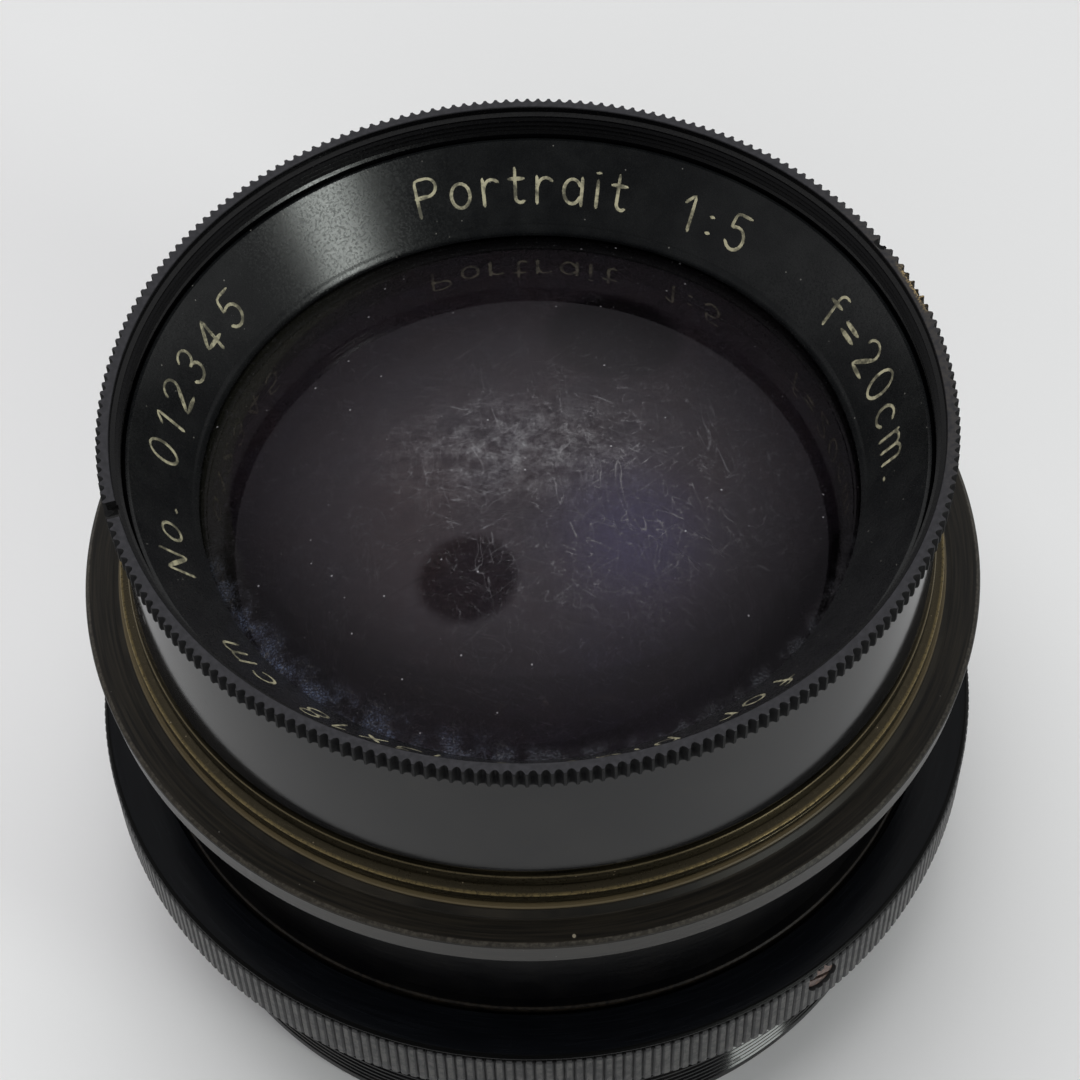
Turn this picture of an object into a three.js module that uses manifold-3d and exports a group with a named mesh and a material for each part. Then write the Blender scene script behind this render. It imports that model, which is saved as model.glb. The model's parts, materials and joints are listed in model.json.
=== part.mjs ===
// Portrait lens in a black-lacquered brass barrel: four elements in three groups, a knurled iris
// ring and a twelve-leaf iris. Millimetres. The optical axis is +Z with the front glass upwards,
// and the origin is the centre of the rear rim, on which the lens stands.
// Threads are plain cylinders, and neighbouring pieces keep a working gap.
import * as THREE from "three";
import Module from "manifold-3d";
import { mergeVertices } from "three/addons/utils/BufferGeometryUtils.js";

const wasm = await Module();
wasm.setup();

// ---- Driving dimensions ----
const GAP = 0.3; // between pieces that touch or thread together
const HEIGHT = 56; // rear rim to front rim
const SEGMENTS = 40; // round the axis
const PIN_SEGMENTS = 6;

const RIM_R = 32; // serrated front rim
const RIM_FLAT_IN_R = 31; // inner edge of the rim's flat top
const RIM_H = 1.8;
const WALL_TOP_R = 30.95; // the wall below the rim tapers
const WALL_LOW_R = 31.5;
const FRONT_SHOULDER_Z = 41.9; // where the front barrel stops on the body
const NAME_OUT_R = 30.1; // engraved cone, outer edge
const NAME_TOP_Z = 53.3;
const NAME_LIP_Z = 46.85;
const CLEAR_R = 25.4; // clear opening of the front glass

const BODY_R = 31.6; // body tube
const BODY_BORE_R = 30.4; // iris chamber
const BODY_LOW_Z = 10.3;
const FRONT_THREAD_R = 28.6; // male thread of the front barrel
const LIGHT_R = 20.5; // clear passage through the barrel
const BODY_TOP_Z = 38.8;
const BODY_STEP_R = 32.4; // low step above the control ring
const BODY_STEP_LOW_Z = 20.95;
const BODY_STEP_TOP_Z = 21.9;
const COLLAR_R = 32.45; // bead of the stepped collar
const COLLAR_STEP_R = 31.7;
const COLLAR_LOW_Z = 39.1;
const COLLAR_STEP_Z = 40.2;
const FLANGE_R = 35.5;
const FLANGE_LOW_Z = 35.2;
const FLANGE_TOP_Z = 38;
const BOSS_R = 32.75; // low boss on the flange
const BOSS_H = 0.75;

const IRIS_RING_R = 36.5;
const IRIS_RING_LOW_Z = 15.5;
const IRIS_RING_TOP_Z = 21.7;
const RING_BORE_R = 32.75; // counterbore in the ring's front face
const RING_BORE_Z = 20.6;
const DRIVE_SCREW_Z = 19.3;
const DRIVE_SCREW_AZIMUTH = -53.4; // degrees from +X
const REAR_TUBE_R = 32.1;
const REAR_TUBE_TOP_Z = 10;
const REAR_PLUG_TOP_Z = 14.8; // the plug that screws into the body
const REAR_BORE_R = 29.3;
const RETAINER_R = 34;
const RETAINER_LOW_Z = 14;

// The iris: each leaf turns LEAF_SWING about its pivot while the ring turns RING_TURN.
const LEAVES = 12;
const RING_TURN = 45;
const LEAF_SWING = 36;
const OPEN_R = 18.8; // inner edge of the leaves when fully open
const LEAF_OUT_R = 24.7;
const LEAF_THICK = 0.16;
const LEAF_PITCH = 0.36; // height between one leaf and the next
const LEAF_LOW_Z = 18.6;
const LEAF_TIP = 100; // degrees, length of a leaf beyond its pivot
const LEAF_TAIL = -9;
const PIVOT_R = 25.8;
const PIN_R = 0.4;
const PIN_ARM = 4.8; // from the pivot to the driven pin
const PIN_ARM_START = -100; // direction of the driven pin from the pivot, iris open
const CAM_LOW_Z = 17.2;
const CAM_PLATE = 1.1;
const CAM_OUT_R = 30.1;
const SLOT_HALF = 0.6;
const BASE_PLATE_Z = 23;
const BASE_PLATE_THICK = 1;
const LOCK_RING_LOW_Z = 15.9;

// ---- Materials ----
const material = (color, roughness, metalness) =>
  new THREE.MeshStandardMaterial({ color, roughness, metalness });
const blackGloss = material(0x18191b, 0.25, 0.4);
const blackMatt = material(0x101114, 0.6, 0.2);
const wornBrass = material(0x6b5a34, 0.4, 0.8);
const brownLacquer = material(0x2b2622, 0.35, 0.5);
const knurledBlack = material(0x34363a, 0.45, 0.6);
const screwBrass = material(0x5a3526, 0.5, 0.7);
const leafSteel = material(0x202326, 0.5, 0.6);
const frontGlass = material(0x5b4f5e, 0.05, 0);
const clearGlass = material(0xa9b2b0, 0.05, 0);
for (const glass of [frontGlass, clearGlass]) {
  glass.transparent = true;
  glass.opacity = 0.4;
}

// ---- Helpers ----
const radians = THREE.MathUtils.degToRad;

// A point at a radius and an azimuth in degrees.
function polar(radius, azimuth) {
  const angle = radians(azimuth);
  return new THREE.Vector2(radius * Math.cos(angle), radius * Math.sin(angle));
}

// An outline of [radius, height] points turned about +Z. An outline that starts on the axis also
// ends there; any other closes on itself.
function turned(outline, segments = SEGMENTS) {
  const closed = outline[0][0] === 0 ? outline : [...outline, outline[0]];
  const points = closed.map(([radius, height]) => new THREE.Vector2(radius, height));
  return new THREE.LatheGeometry(points, segments).rotateX(Math.PI / 2);
}

// Points of a spherical surface whose vertex is at height vertexZ, from one radius to another.
// A positive curve bulges upwards.
function surface(vertexZ, curve, from, to, steps = 3) {
  const points = [];
  for (let i = 0; i <= steps; i++) {
    const radius = from + ((to - from) * i) / steps;
    const sag = Math.abs(curve) - Math.sqrt(curve * curve - radius * radius);
    points.push([radius, vertexZ - Math.sign(curve) * sag]);
  }
  return points;
}

function toSolid(geometry) {
  const plain = geometry.clone();
  plain.deleteAttribute("normal");
  plain.deleteAttribute("uv");
  const merged = mergeVertices(plain, 1e-4);
  const vertProperties = merged.getAttribute("position").array;
  const triVerts = new Uint32Array(merged.index.array);
  return new wasm.Manifold(new wasm.Mesh({ numProp: 3, vertProperties, triVerts }));
}

function toGeometry(solid) {
  const mesh = solid.getMesh();
  const geometry = new THREE.BufferGeometry();
  geometry.setAttribute("position", new THREE.BufferAttribute(mesh.vertProperties, 3));
  geometry.setIndex(new THREE.BufferAttribute(mesh.triVerts, 1));
  geometry.computeVertexNormals();
  return geometry;
}

const cut = (geometry, tools) =>
  toGeometry(tools.reduce((solid, tool) => solid.subtract(toSolid(tool)), toSolid(geometry)));

const join = (geometries) =>
  toGeometry(geometries.map(toSolid).reduce((solid, next) => solid.add(next)));

// A flat plate of the given outline points, with its lower face at height z.
function plate(points, holes, z, thick) {
  const shape = new THREE.Shape(points);
  shape.holes = holes.map((hole) => new THREE.Path(hole));
  const geometry = new THREE.ExtrudeGeometry(shape, { depth: thick, bevelEnabled: false });
  return geometry.translate(0, 0, z);
}

function circle(centre, radius, segments) {
  const points = [];
  for (let i = 0; i < segments; i++) {
    points.push(polar(radius, (360 * i) / segments).add(centre));
  }
  return points;
}

const axisPoint = new THREE.Vector2(0, 0);

// A round bar along +Z.
function bar(centre, radius, lowZ, highZ, segments = PIN_SEGMENTS) {
  return plate(circle(centre, radius, segments), [], lowZ, highZ - lowZ);
}

// A straight strap between two points, in the plane of a plate.
function strap(from, to, halfWidth, z, thick) {
  const side = to.clone().sub(from).normalize().multiplyScalar(halfWidth);
  const normal = new THREE.Vector2(-side.y, side.x);
  const corners = [
    from.clone().sub(normal),
    to.clone().sub(normal),
    to.clone().add(normal),
    from.clone().add(normal),
  ];
  return plate(corners, [], z, thick);
}

// Turns a geometry that points along +Z to point outwards at an azimuth, at height z.
function pointOutwards(geometry, azimuth, z) {
  return geometry.rotateY(Math.PI / 2).rotateZ(radians(azimuth)).translate(0, 0, z);
}

const lens = new THREE.Group();

function addPiece(name, geometry, surfaceMaterial, parent = lens) {
  const mesh = new THREE.Mesh(geometry, surfaceMaterial);
  mesh.name = name;
  parent.add(mesh);
  return mesh;
}

// A notch across the upper or lower face of a ring.
function notch(azimuth, innerR, outerR, lowZ, highZ, width) {
  return new THREE.BoxGeometry(outerR - innerR, width, highZ - lowZ)
    .translate((innerR + outerR) / 2, 0, (lowZ + highZ) / 2)
    .rotateZ(radians(azimuth));
}

// Two opposite notches for a spanner.
function spannerNotches(azimuth, ...sizes) {
  return [azimuth, azimuth + 180].map((place) => notch(place, ...sizes));
}

// ---- Front cell ----
const FRONT_LOW_Z = 26.4;
const FRONT_GLASS_R = 27;
const FRONT_SEAT_Z = 45.5; // ledge under the name ring
const MIDDLE_GLASS_R = 23.5;
const MIDDLE_SEAT_Z = 40;
const MIDDLE_CLEAR_R = 22.2; // ground part of the middle element
const SPACER_R = 22.8;
const FRONT_VERTEX_Z = 51.9;
const FRONT_CURVE = 64;
const FRONT_REAR_VERTEX_Z = 40.6;
const FLAT_CURVE = -300; // nearly flat surfaces
const NAME_SEAT_Z = 45.9;
const NOTCH_AZIMUTH = 195.6;
const NOTCH_WIDTH = 1.5;
const NOTCH_DEPTH = 0.8;

// The wall narrows in steps from the rim to the seat of the middle element.
function frontBarrel() {
  const outline = [
    [LIGHT_R, FRONT_LOW_Z],
    [FRONT_THREAD_R, FRONT_LOW_Z],
    [FRONT_THREAD_R, FRONT_SHOULDER_Z],
    [WALL_LOW_R, FRONT_SHOULDER_Z],
    [WALL_TOP_R, HEIGHT - RIM_H],
    [RIM_R, HEIGHT - RIM_H],
    [RIM_R, HEIGHT],
    [RIM_FLAT_IN_R, HEIGHT],
    [RIM_FLAT_IN_R, HEIGHT - 0.5],
    [NAME_OUT_R + GAP, HEIGHT - 0.7],
    [NAME_OUT_R + GAP, FRONT_SEAT_Z],
    [FRONT_GLASS_R + GAP, FRONT_SEAT_Z],
    [FRONT_GLASS_R + GAP, MIDDLE_SEAT_Z],
    [MIDDLE_GLASS_R + GAP, MIDDLE_SEAT_Z],
    [MIDDLE_GLASS_R + GAP, FRONT_LOW_Z + 1.5],
    [LIGHT_R, FRONT_LOW_Z + 1.5],
  ];
  const rimNotch = notch(NOTCH_AZIMUTH, 30, 33, HEIGHT - NOTCH_DEPTH, HEIGHT + 1, NOTCH_WIDTH);
  return cut(turned(outline), [rimNotch]);
}

// Engraved cone that screws in from the front and holds the front element.
function nameRing() {
  return turned([
    [CLEAR_R, NAME_LIP_Z],
    [FRONT_GLASS_R + 0.2, NAME_SEAT_Z + 0.4],
    [FRONT_GLASS_R + 0.8, NAME_SEAT_Z],
    [NAME_OUT_R, NAME_SEAT_Z],
    [NAME_OUT_R, NAME_TOP_Z],
    [NAME_OUT_R - 0.2, NAME_TOP_Z],
    [CLEAR_R, NAME_LIP_Z + 0.3],
  ]);
}

function frontElement() {
  return turned([
    ...surface(FRONT_REAR_VERTEX_Z, FLAT_CURVE, 0, FRONT_GLASS_R, 2),
    ...surface(FRONT_VERTEX_Z, FRONT_CURVE, FRONT_GLASS_R, 0, 4),
  ]);
}

function frontSpacer() {
  return turned([
    [SPACER_R, MIDDLE_SEAT_Z + 0.5],
    [FRONT_GLASS_R - GAP, MIDDLE_SEAT_Z + 0.5],
    [FRONT_GLASS_R - GAP, MIDDLE_SEAT_Z + 1.3],
    [SPACER_R, MIDDLE_SEAT_Z + 1.1],
  ]);
}

function middleElement() {
  return turned([
    ...surface(33.4, 52, 0, MIDDLE_CLEAR_R),
    [MIDDLE_GLASS_R, 28.3],
    [MIDDLE_GLASS_R, MIDDLE_SEAT_Z + 0.1],
    ...surface(36.7, -75, MIDDLE_CLEAR_R, 0),
  ]);
}

// ---- Body ----
const SHELF_LOW_Z = 24.3;

function mainBarrel() {
  const tube = turned([
    [BODY_BORE_R, BODY_LOW_Z],
    [BODY_R, BODY_LOW_Z],
    [BODY_R, BODY_STEP_LOW_Z],
    [BODY_STEP_R, BODY_STEP_LOW_Z],
    [BODY_STEP_R, BODY_STEP_TOP_Z],
    [BODY_R, BODY_STEP_TOP_Z],
    [BODY_R, BODY_TOP_Z],
    [BODY_BORE_R, BODY_TOP_Z],
    [BODY_BORE_R, FRONT_SHOULDER_Z - 0.4],
    [FRONT_THREAD_R + GAP, FRONT_SHOULDER_Z - 0.4],
    [FRONT_THREAD_R + GAP, FRONT_LOW_Z - GAP],
    [LIGHT_R + GAP, FRONT_LOW_Z - GAP],
    [LIGHT_R + GAP, SHELF_LOW_Z],
    [BODY_BORE_R, SHELF_LOW_Z],
  ]);
  return cut(tube, [driveSlot()]);
}

// The window through which the drive screw reaches the iris, as long as the ring's turn.
function driveSlot() {
  const margin = 3;
  const steps = 8;
  const from = DRIVE_SCREW_AZIMUTH - margin;
  const span = RING_TURN + 2 * margin;
  const outer = [];
  const inner = [];
  for (let i = 0; i <= steps; i++) {
    const azimuth = from + (span * i) / steps;
    outer.push(polar(33, azimuth));
    inner.unshift(polar(29.8, azimuth));
  }
  return plate([...outer, ...inner], [], DRIVE_SCREW_Z - 1.1, 2.2);
}

// Collar that screws on the body's front end and traps the flange; its edges are worn to brass.
function steppedCollar() {
  return turned([
    [BODY_BORE_R + GAP, COLLAR_LOW_Z],
    [COLLAR_R, COLLAR_LOW_Z],
    [COLLAR_R, COLLAR_STEP_Z - 0.3],
    [COLLAR_R - 0.3, COLLAR_STEP_Z],
    [COLLAR_STEP_R, COLLAR_STEP_Z],
    [COLLAR_STEP_R, FRONT_SHOULDER_Z - GAP],
    [BODY_BORE_R + GAP, FRONT_SHOULDER_Z - GAP],
  ]);
}

function shoulderFlange() {
  const ring = turned([
    [BODY_R + GAP, FLANGE_LOW_Z],
    [FLANGE_R, FLANGE_LOW_Z],
    [FLANGE_R, FLANGE_TOP_Z - 0.4],
    [FLANGE_R - 0.3, FLANGE_TOP_Z],
    [BOSS_R + 0.45, FLANGE_TOP_Z],
    [BOSS_R, FLANGE_TOP_Z + 0.4],
    [BOSS_R, FLANGE_TOP_Z + BOSS_H],
    [BODY_R + GAP, FLANGE_TOP_Z + BOSS_H],
  ]);
  const hole = pointOutwards(bar(axisPoint, 0.9, 31, 37), GRUB_AZIMUTH, GRUB_Z);
  return cut(ring, [hole]);
}

// Grub screw that locks the flange on the body.
const GRUB_AZIMUTH = 90;
const GRUB_Z = (FLANGE_LOW_Z + FLANGE_TOP_Z) / 2;

function flangeGrubScrew() {
  return pointOutwards(bar(axisPoint, 0.6, BODY_R + GAP, FLANGE_R - 0.4), GRUB_AZIMUTH, GRUB_Z);
}

// ---- Iris ----
const pivot = polar(PIVOT_R, 0);

// Where a leaf's driven pin is when the leaf has swung by some degrees.
function drivenPin(swing) {
  return polar(PIN_ARM, PIN_ARM_START + swing).add(pivot);
}

// A leaf is an arc with a lug for its two pins. The pivot pin goes up into the base plate and the
// driven pin goes down into the cam slot, both outside the sweep of the other leaves.
function irisLeaf(level) {
  const z = LEAF_LOW_Z + LEAF_PITCH * level;
  const steps = 9;
  const inner = [];
  const outer = [];
  for (let i = 0; i <= steps; i++) {
    const azimuth = LEAF_TAIL + ((LEAF_TIP - LEAF_TAIL) * i) / steps;
    inner.unshift(polar(OPEN_R, azimuth));
    outer.push(polar(LEAF_OUT_R, azimuth));
  }
  const tip = polar((OPEN_R + LEAF_OUT_R) / 2, LEAF_TIP + 6);
  const driven = drivenPin(0);
  return join([
    plate([...outer, tip, ...inner], [], z, LEAF_THICK),
    bar(pivot, 1.2, z, z + LEAF_THICK, 8),
    bar(driven, 0.75, z, z + LEAF_THICK, 8),
    strap(driven, pivot, 0.7, z, LEAF_THICK),
    strap(polar(22, 1), pivot, 1.1, z, LEAF_THICK),
    strap(polar(22, -7), driven, 0.7, z, LEAF_THICK),
    bar(pivot, PIN_R, z, BASE_PLATE_Z + 0.9),
    bar(driven, PIN_R, CAM_LOW_Z + 0.2, z + LEAF_THICK),
  ]);
}

// The path of a driven pin as the turning cam ring sees it, widened into a slot.
function camSlot(turn) {
  const steps = 6;
  const path = [];
  for (let i = 0; i <= steps; i++) {
    const share = i / steps;
    path.push(drivenPin(LEAF_SWING * share).rotateAround(axisPoint, radians(turn - RING_TURN * share)));
  }
  const left = [];
  const right = [];
  path.forEach((point, i) => {
    const before = path[Math.max(i - 1, 0)];
    const after = path[Math.min(i + 1, steps)];
    const along = after.clone().sub(before).normalize().multiplyScalar(SLOT_HALF);
    const across = new THREE.Vector2(-along.y, along.x);
    if (i === 0) left.push(point.clone().sub(along));
    left.push(point.clone().add(across));
    right.unshift(point.clone().sub(across));
    if (i === steps) left.push(point.clone().add(along));
  });
  return [...left, ...right];
}

const leafAzimuth = (index) => (360 * index) / LEAVES;
const leafIndices = Array.from({ length: LEAVES }, (_, index) => index);

// The cam ring: a slotted plate with a sleeve that takes the drive screw.
function irisCamRing() {
  const slots = leafIndices.map((index) => camSlot(leafAzimuth(index)));
  const bore = circle(axisPoint, OPEN_R + 0.1, SEGMENTS);
  const slotted = plate(circle(axisPoint, CAM_OUT_R, SEGMENTS), [bore, ...slots], CAM_LOW_Z, CAM_PLATE);
  const sleeve = turned([
    [CAM_OUT_R - 0.8, CAM_LOW_Z + 0.5],
    [CAM_OUT_R, CAM_LOW_Z + 0.5],
    [CAM_OUT_R, BASE_PLATE_Z - 0.4],
    [CAM_OUT_R - 0.8, BASE_PLATE_Z - 0.4],
  ]);
  const hole = pointOutwards(bar(axisPoint, 1.1, 28, 31), DRIVE_SCREW_AZIMUTH, DRIVE_SCREW_Z);
  return cut(join([slotted, sleeve]), [hole]);
}

// The fixed plate in front of the leaves, which holds their pivot pins.
function irisBasePlate() {
  const bore = circle(axisPoint, OPEN_R + 0.1, SEGMENTS);
  const holes = leafIndices.map((index) =>
    circle(pivot.clone().rotateAround(axisPoint, radians(leafAzimuth(index))), PIN_R + GAP, PIN_SEGMENTS),
  );
  const rim = circle(axisPoint, CAM_OUT_R, SEGMENTS);
  return plate(rim, [bore, ...holes], BASE_PLATE_Z, BASE_PLATE_THICK);
}

// Threaded ring behind the cam ring, with two spanner notches.
function irisLockRing() {
  const ring = turned([
    [LIGHT_R, LOCK_RING_LOW_Z],
    [CAM_OUT_R, LOCK_RING_LOW_Z],
    [CAM_OUT_R, CAM_LOW_Z - GAP],
    [LIGHT_R, CAM_LOW_Z - GAP],
  ]);
  return cut(ring, spannerNotches(0, 19, 23, LOCK_RING_LOW_Z - 1, LOCK_RING_LOW_Z + 0.5, 2));
}

// Knurled control ring round the body, with a counterbored hole for the drive screw.
function irisRing() {
  const ring = turned([
    [BODY_R + GAP, IRIS_RING_LOW_Z],
    [IRIS_RING_R - 0.4, IRIS_RING_LOW_Z],
    [IRIS_RING_R, IRIS_RING_LOW_Z + 0.3],
    [IRIS_RING_R, IRIS_RING_TOP_Z - 0.6],
    [IRIS_RING_R - 0.45, IRIS_RING_TOP_Z - 0.4],
    [RING_BORE_R, IRIS_RING_TOP_Z],
    [RING_BORE_R, RING_BORE_Z],
    [BODY_R + GAP, RING_BORE_Z],
  ]);
  const shank = bar(axisPoint, 1.1, 31, 37);
  const counterbore = bar(axisPoint, 1.6, 34.3, 37, 12);
  return cut(ring, [
    pointOutwards(shank, DRIVE_SCREW_AZIMUTH, DRIVE_SCREW_Z),
    pointOutwards(counterbore, DRIVE_SCREW_AZIMUTH, DRIVE_SCREW_Z),
  ]);
}

// Cheese-head screw that joins the control ring to the cam ring.
function irisDriveScrew() {
  const headLow = 34.6;
  const headTop = 36.1;
  const blank = join([
    bar(axisPoint, 0.8, 29.5, headLow + 0.2),
    bar(axisPoint, 1.3, headLow, headTop, 12),
  ]);
  const slot = new THREE.BoxGeometry(0.5, 4, 1.2).translate(0, 0, headTop);
  return pointOutwards(cut(blank, [slot]), DRIVE_SCREW_AZIMUTH, DRIVE_SCREW_Z);
}

// Thin ring screwed on the body behind the control ring.
function ringRetainer() {
  return turned([
    [BODY_R + GAP, RETAINER_LOW_Z],
    [RETAINER_R - 0.4, RETAINER_LOW_Z],
    [RETAINER_R, RETAINER_LOW_Z + 0.4],
    [RETAINER_R, IRIS_RING_LOW_Z - GAP],
    [BODY_R + GAP, IRIS_RING_LOW_Z - GAP],
  ]);
}

// ---- Rear ----
const REAR_GLASS_R = 20.5;
const CELL_R = 24; // rear cell, screwed into the web of the rear barrel
const CELL_LOW_Z = 1.2;
const CELL_LIP_R = 19.3; // lip in front of the rear pair
const CELL_SHOULDER_R = 26.5;
const CELL_SHOULDER_LOW_Z = 5.9;
const CELL_TOP_Z = 13.6;
const WEB_LOW_Z = 8;
const WEB_TOP_Z = 10.6;
const REAR_STOP_R = 18.7; // bore of the rear retainer
const REAR_STOP_LOW_Z = 1.5;
const REAR_STOP_TOP_Z = 3.2;
const CEMENTED_CURVE = 46; // shared curve of the rear pair

function rearBarrel() {
  return turned([
    [REAR_BORE_R, 0],
    [REAR_TUBE_R, 0],
    [REAR_TUBE_R, REAR_TUBE_TOP_Z],
    [BODY_BORE_R - GAP, REAR_TUBE_TOP_Z],
    [BODY_BORE_R - GAP, REAR_PLUG_TOP_Z],
    [REAR_BORE_R - 0.7, REAR_PLUG_TOP_Z],
    [REAR_BORE_R - 0.7, WEB_TOP_Z],
    [CELL_R + GAP, WEB_TOP_Z],
    [CELL_R + GAP, WEB_LOW_Z],
    [REAR_BORE_R, WEB_LOW_Z],
  ]);
}

function rearCell() {
  return turned([
    [REAR_GLASS_R + GAP, CELL_LOW_Z],
    [CELL_R, CELL_LOW_Z],
    [CELL_R, CELL_SHOULDER_LOW_Z],
    [CELL_SHOULDER_R, CELL_SHOULDER_LOW_Z],
    [CELL_SHOULDER_R, WEB_LOW_Z - GAP],
    [CELL_R, WEB_LOW_Z - GAP],
    [CELL_R, CELL_TOP_Z],
    [CELL_LIP_R, CELL_TOP_Z],
    [CELL_LIP_R, CELL_TOP_Z - 0.5],
    [REAR_GLASS_R + GAP, CELL_TOP_Z - 0.5],
  ]);
}

function doubletFrontElement() {
  return turned([
    ...surface(9.8, CEMENTED_CURVE, 0, REAR_GLASS_R),
    ...surface(12.1, FLAT_CURVE, REAR_GLASS_R, 0, 2),
  ]);
}

function doubletRearElement() {
  return turned([
    ...surface(1.2, -76, 0, REAR_GLASS_R),
    ...surface(9.5, CEMENTED_CURVE, REAR_GLASS_R, 0),
  ]);
}

function rearRetainer() {
  const ring = turned([
    [REAR_STOP_R, REAR_STOP_LOW_Z],
    [REAR_GLASS_R, REAR_STOP_LOW_Z],
    [REAR_GLASS_R, REAR_STOP_TOP_Z],
    [REAR_STOP_R, REAR_STOP_TOP_Z],
  ]);
  return cut(ring, spannerNotches(90, 18, 20, REAR_STOP_LOW_Z - 0.5, REAR_STOP_LOW_Z + 0.7, 1.5));
}

// ---- Assembly ----
const frontCell = new THREE.Group();
addPiece("front_barrel", frontBarrel(), blackGloss, frontCell);
addPiece("name_ring", nameRing(), blackMatt, frontCell);
addPiece("front_element", frontElement(), frontGlass, frontCell);
addPiece("front_spacer", frontSpacer(), blackMatt, frontCell);
addPiece("middle_element", middleElement(), clearGlass, frontCell);
lens.add(frontCell);

const body = new THREE.Group();
addPiece("main_barrel", mainBarrel(), blackMatt, body);
addPiece("stepped_collar", steppedCollar(), wornBrass, body);
addPiece("shoulder_flange", shoulderFlange(), brownLacquer, body);
addPiece("flange_grub_screw", flangeGrubScrew(), screwBrass, body);
addPiece("ring_retainer", ringRetainer(), blackMatt, body);
lens.add(body);

const iris = new THREE.Group();
addPiece("iris_ring", irisRing(), knurledBlack, iris);
addPiece("iris_drive_screw", irisDriveScrew(), screwBrass, iris);
addPiece("iris_cam_ring", irisCamRing(), blackMatt, iris);
addPiece("iris_base_plate", irisBasePlate(), blackMatt, iris);
addPiece("iris_lock_ring", irisLockRing(), blackMatt, iris);
for (const index of leafIndices) {
  const name = "iris_leaf_" + String(index + 1).padStart(2, "0");
  const leaf = addPiece(name, irisLeaf(index), leafSteel, iris);
  leaf.rotation.z = radians(leafAzimuth(index));
}
lens.add(iris);

const rear = new THREE.Group();
addPiece("rear_barrel", rearBarrel(), blackGloss, rear);
addPiece("rear_cell", rearCell(), blackMatt, rear);
addPiece("doublet_front_element", doubletFrontElement(), clearGlass, rear);
addPiece("doublet_rear_element", doubletRearElement(), clearGlass, rear);
addPiece("rear_retainer", rearRetainer(), blackMatt, rear);
lens.add(rear);

export default lens;
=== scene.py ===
"""Looks of an old portrait lens: black-lacquered brass barrel, engraved name ring and hazy glass.

Lengths below are in millimetres and turn to metres where a mesh is made. The lens axis is +Z and
the rear rim stands on the floor at z = 0. Azimuths are degrees from +X, as seen from the front.
"""

import json
import math
from collections import namedtuple

import bmesh
import bpy
import numpy as np
from mathutils import Matrix, Vector


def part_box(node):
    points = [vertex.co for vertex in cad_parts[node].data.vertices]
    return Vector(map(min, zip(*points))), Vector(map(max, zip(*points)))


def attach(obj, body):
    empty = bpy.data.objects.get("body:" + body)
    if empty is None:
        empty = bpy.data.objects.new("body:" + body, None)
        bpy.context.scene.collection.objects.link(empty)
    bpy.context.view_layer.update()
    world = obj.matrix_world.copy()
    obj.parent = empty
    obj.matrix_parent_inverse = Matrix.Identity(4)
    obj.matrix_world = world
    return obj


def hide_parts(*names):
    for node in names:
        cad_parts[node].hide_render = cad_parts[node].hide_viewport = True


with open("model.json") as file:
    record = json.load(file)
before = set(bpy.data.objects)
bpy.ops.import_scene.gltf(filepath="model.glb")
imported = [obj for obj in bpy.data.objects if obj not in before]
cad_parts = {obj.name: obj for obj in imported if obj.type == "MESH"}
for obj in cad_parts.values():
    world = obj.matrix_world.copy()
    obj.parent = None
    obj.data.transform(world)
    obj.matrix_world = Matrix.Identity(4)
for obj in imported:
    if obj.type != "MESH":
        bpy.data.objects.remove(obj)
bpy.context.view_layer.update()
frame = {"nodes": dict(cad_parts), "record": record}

MM = 0.001
BODY_OF = {node: body for body, nodes in frame["record"]["behaviour"]["bodies"].items() for node in nodes}


# ---- Sizes from the frame ----
def outer_radius(node):
    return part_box(node)[1].x / MM


def low_z(node):
    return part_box(node)[0].z / MM


def high_z(node):
    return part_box(node)[1].z / MM


RIM_R = outer_radius("front_barrel")
HEIGHT = high_z("front_barrel")
FRONT_LOW_Z = low_z("front_barrel")
RIM_H = 1.8
TUBE_R = RIM_R - 1  # inner edge of the rim's flat top
WALL_TOP_R = RIM_R - 1.05  # the wall below the rim tapers
WALL_LOW_R = RIM_R - 0.5
COLLAR_TOP_Z = high_z("stepped_collar")
COLLAR_LOW_Z = low_z("stepped_collar")
COLLAR_R = outer_radius("stepped_collar")
COLLAR_STEP_R = COLLAR_R - 0.75
SHOULDER_Z = COLLAR_TOP_Z + 0.3
NAME_R = outer_radius("name_ring")
NAME_TOP_Z = high_z("name_ring")
NAME_LOW_Z = low_z("name_ring")
CLEAR_R = 25.4
INNER_DISC_R = 23  # edge of a painted lit disc: haze on the front glass is lighter inside this, painted light from inside the lens
NAME_LIP_Z = NAME_LOW_Z + 1.25
GLASS_R = outer_radius("front_element")
BODY_BORE_R = 30.4
BODY_R = 31.6
BODY_LOW_Z = low_z("main_barrel")
BODY_TOP_Z = high_z("main_barrel")
BODY_BAND_R = outer_radius("main_barrel")
FLANGE_R = outer_radius("shoulder_flange")
FLANGE_LOW_R = FLANGE_R - 0.25
FLANGE_LOW_Z = low_z("shoulder_flange")
FLANGE_TOP_Z = FLANGE_LOW_Z + 2.8
BOSS_R = 32.75
IRIS_RING_R = outer_radius("iris_ring")
IRIS_RING_LOW_Z = low_z("iris_ring")
IRIS_RING_TOP_Z = high_z("iris_ring")
RETAINER_R = outer_radius("ring_retainer")
RETAINER_LOW_Z = low_z("ring_retainer")
REAR_R = outer_radius("rear_barrel")
RIM_GROOVE_DEPTH = 0.7
SCREW_HEAD_R = IRIS_RING_R - 0.25
REAR_TOP_Z = 10
REAR_BORE_R = 29.3
PLUG_R = 30.1  # the plug that screws into the body
PLUG_TOP_Z = 14.8
WEB_LOW_Z = 8  # the web of the rear barrel, which holds the rear cell
WEB_TOP_Z = 10.6
CELL_R = 24
CELL_LOW_Z = 1.2
CELL_TOP_Z = 13.6
CELL_SHOULDER_R = 26.5
CELL_SHOULDER_Z = 5.9
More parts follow.
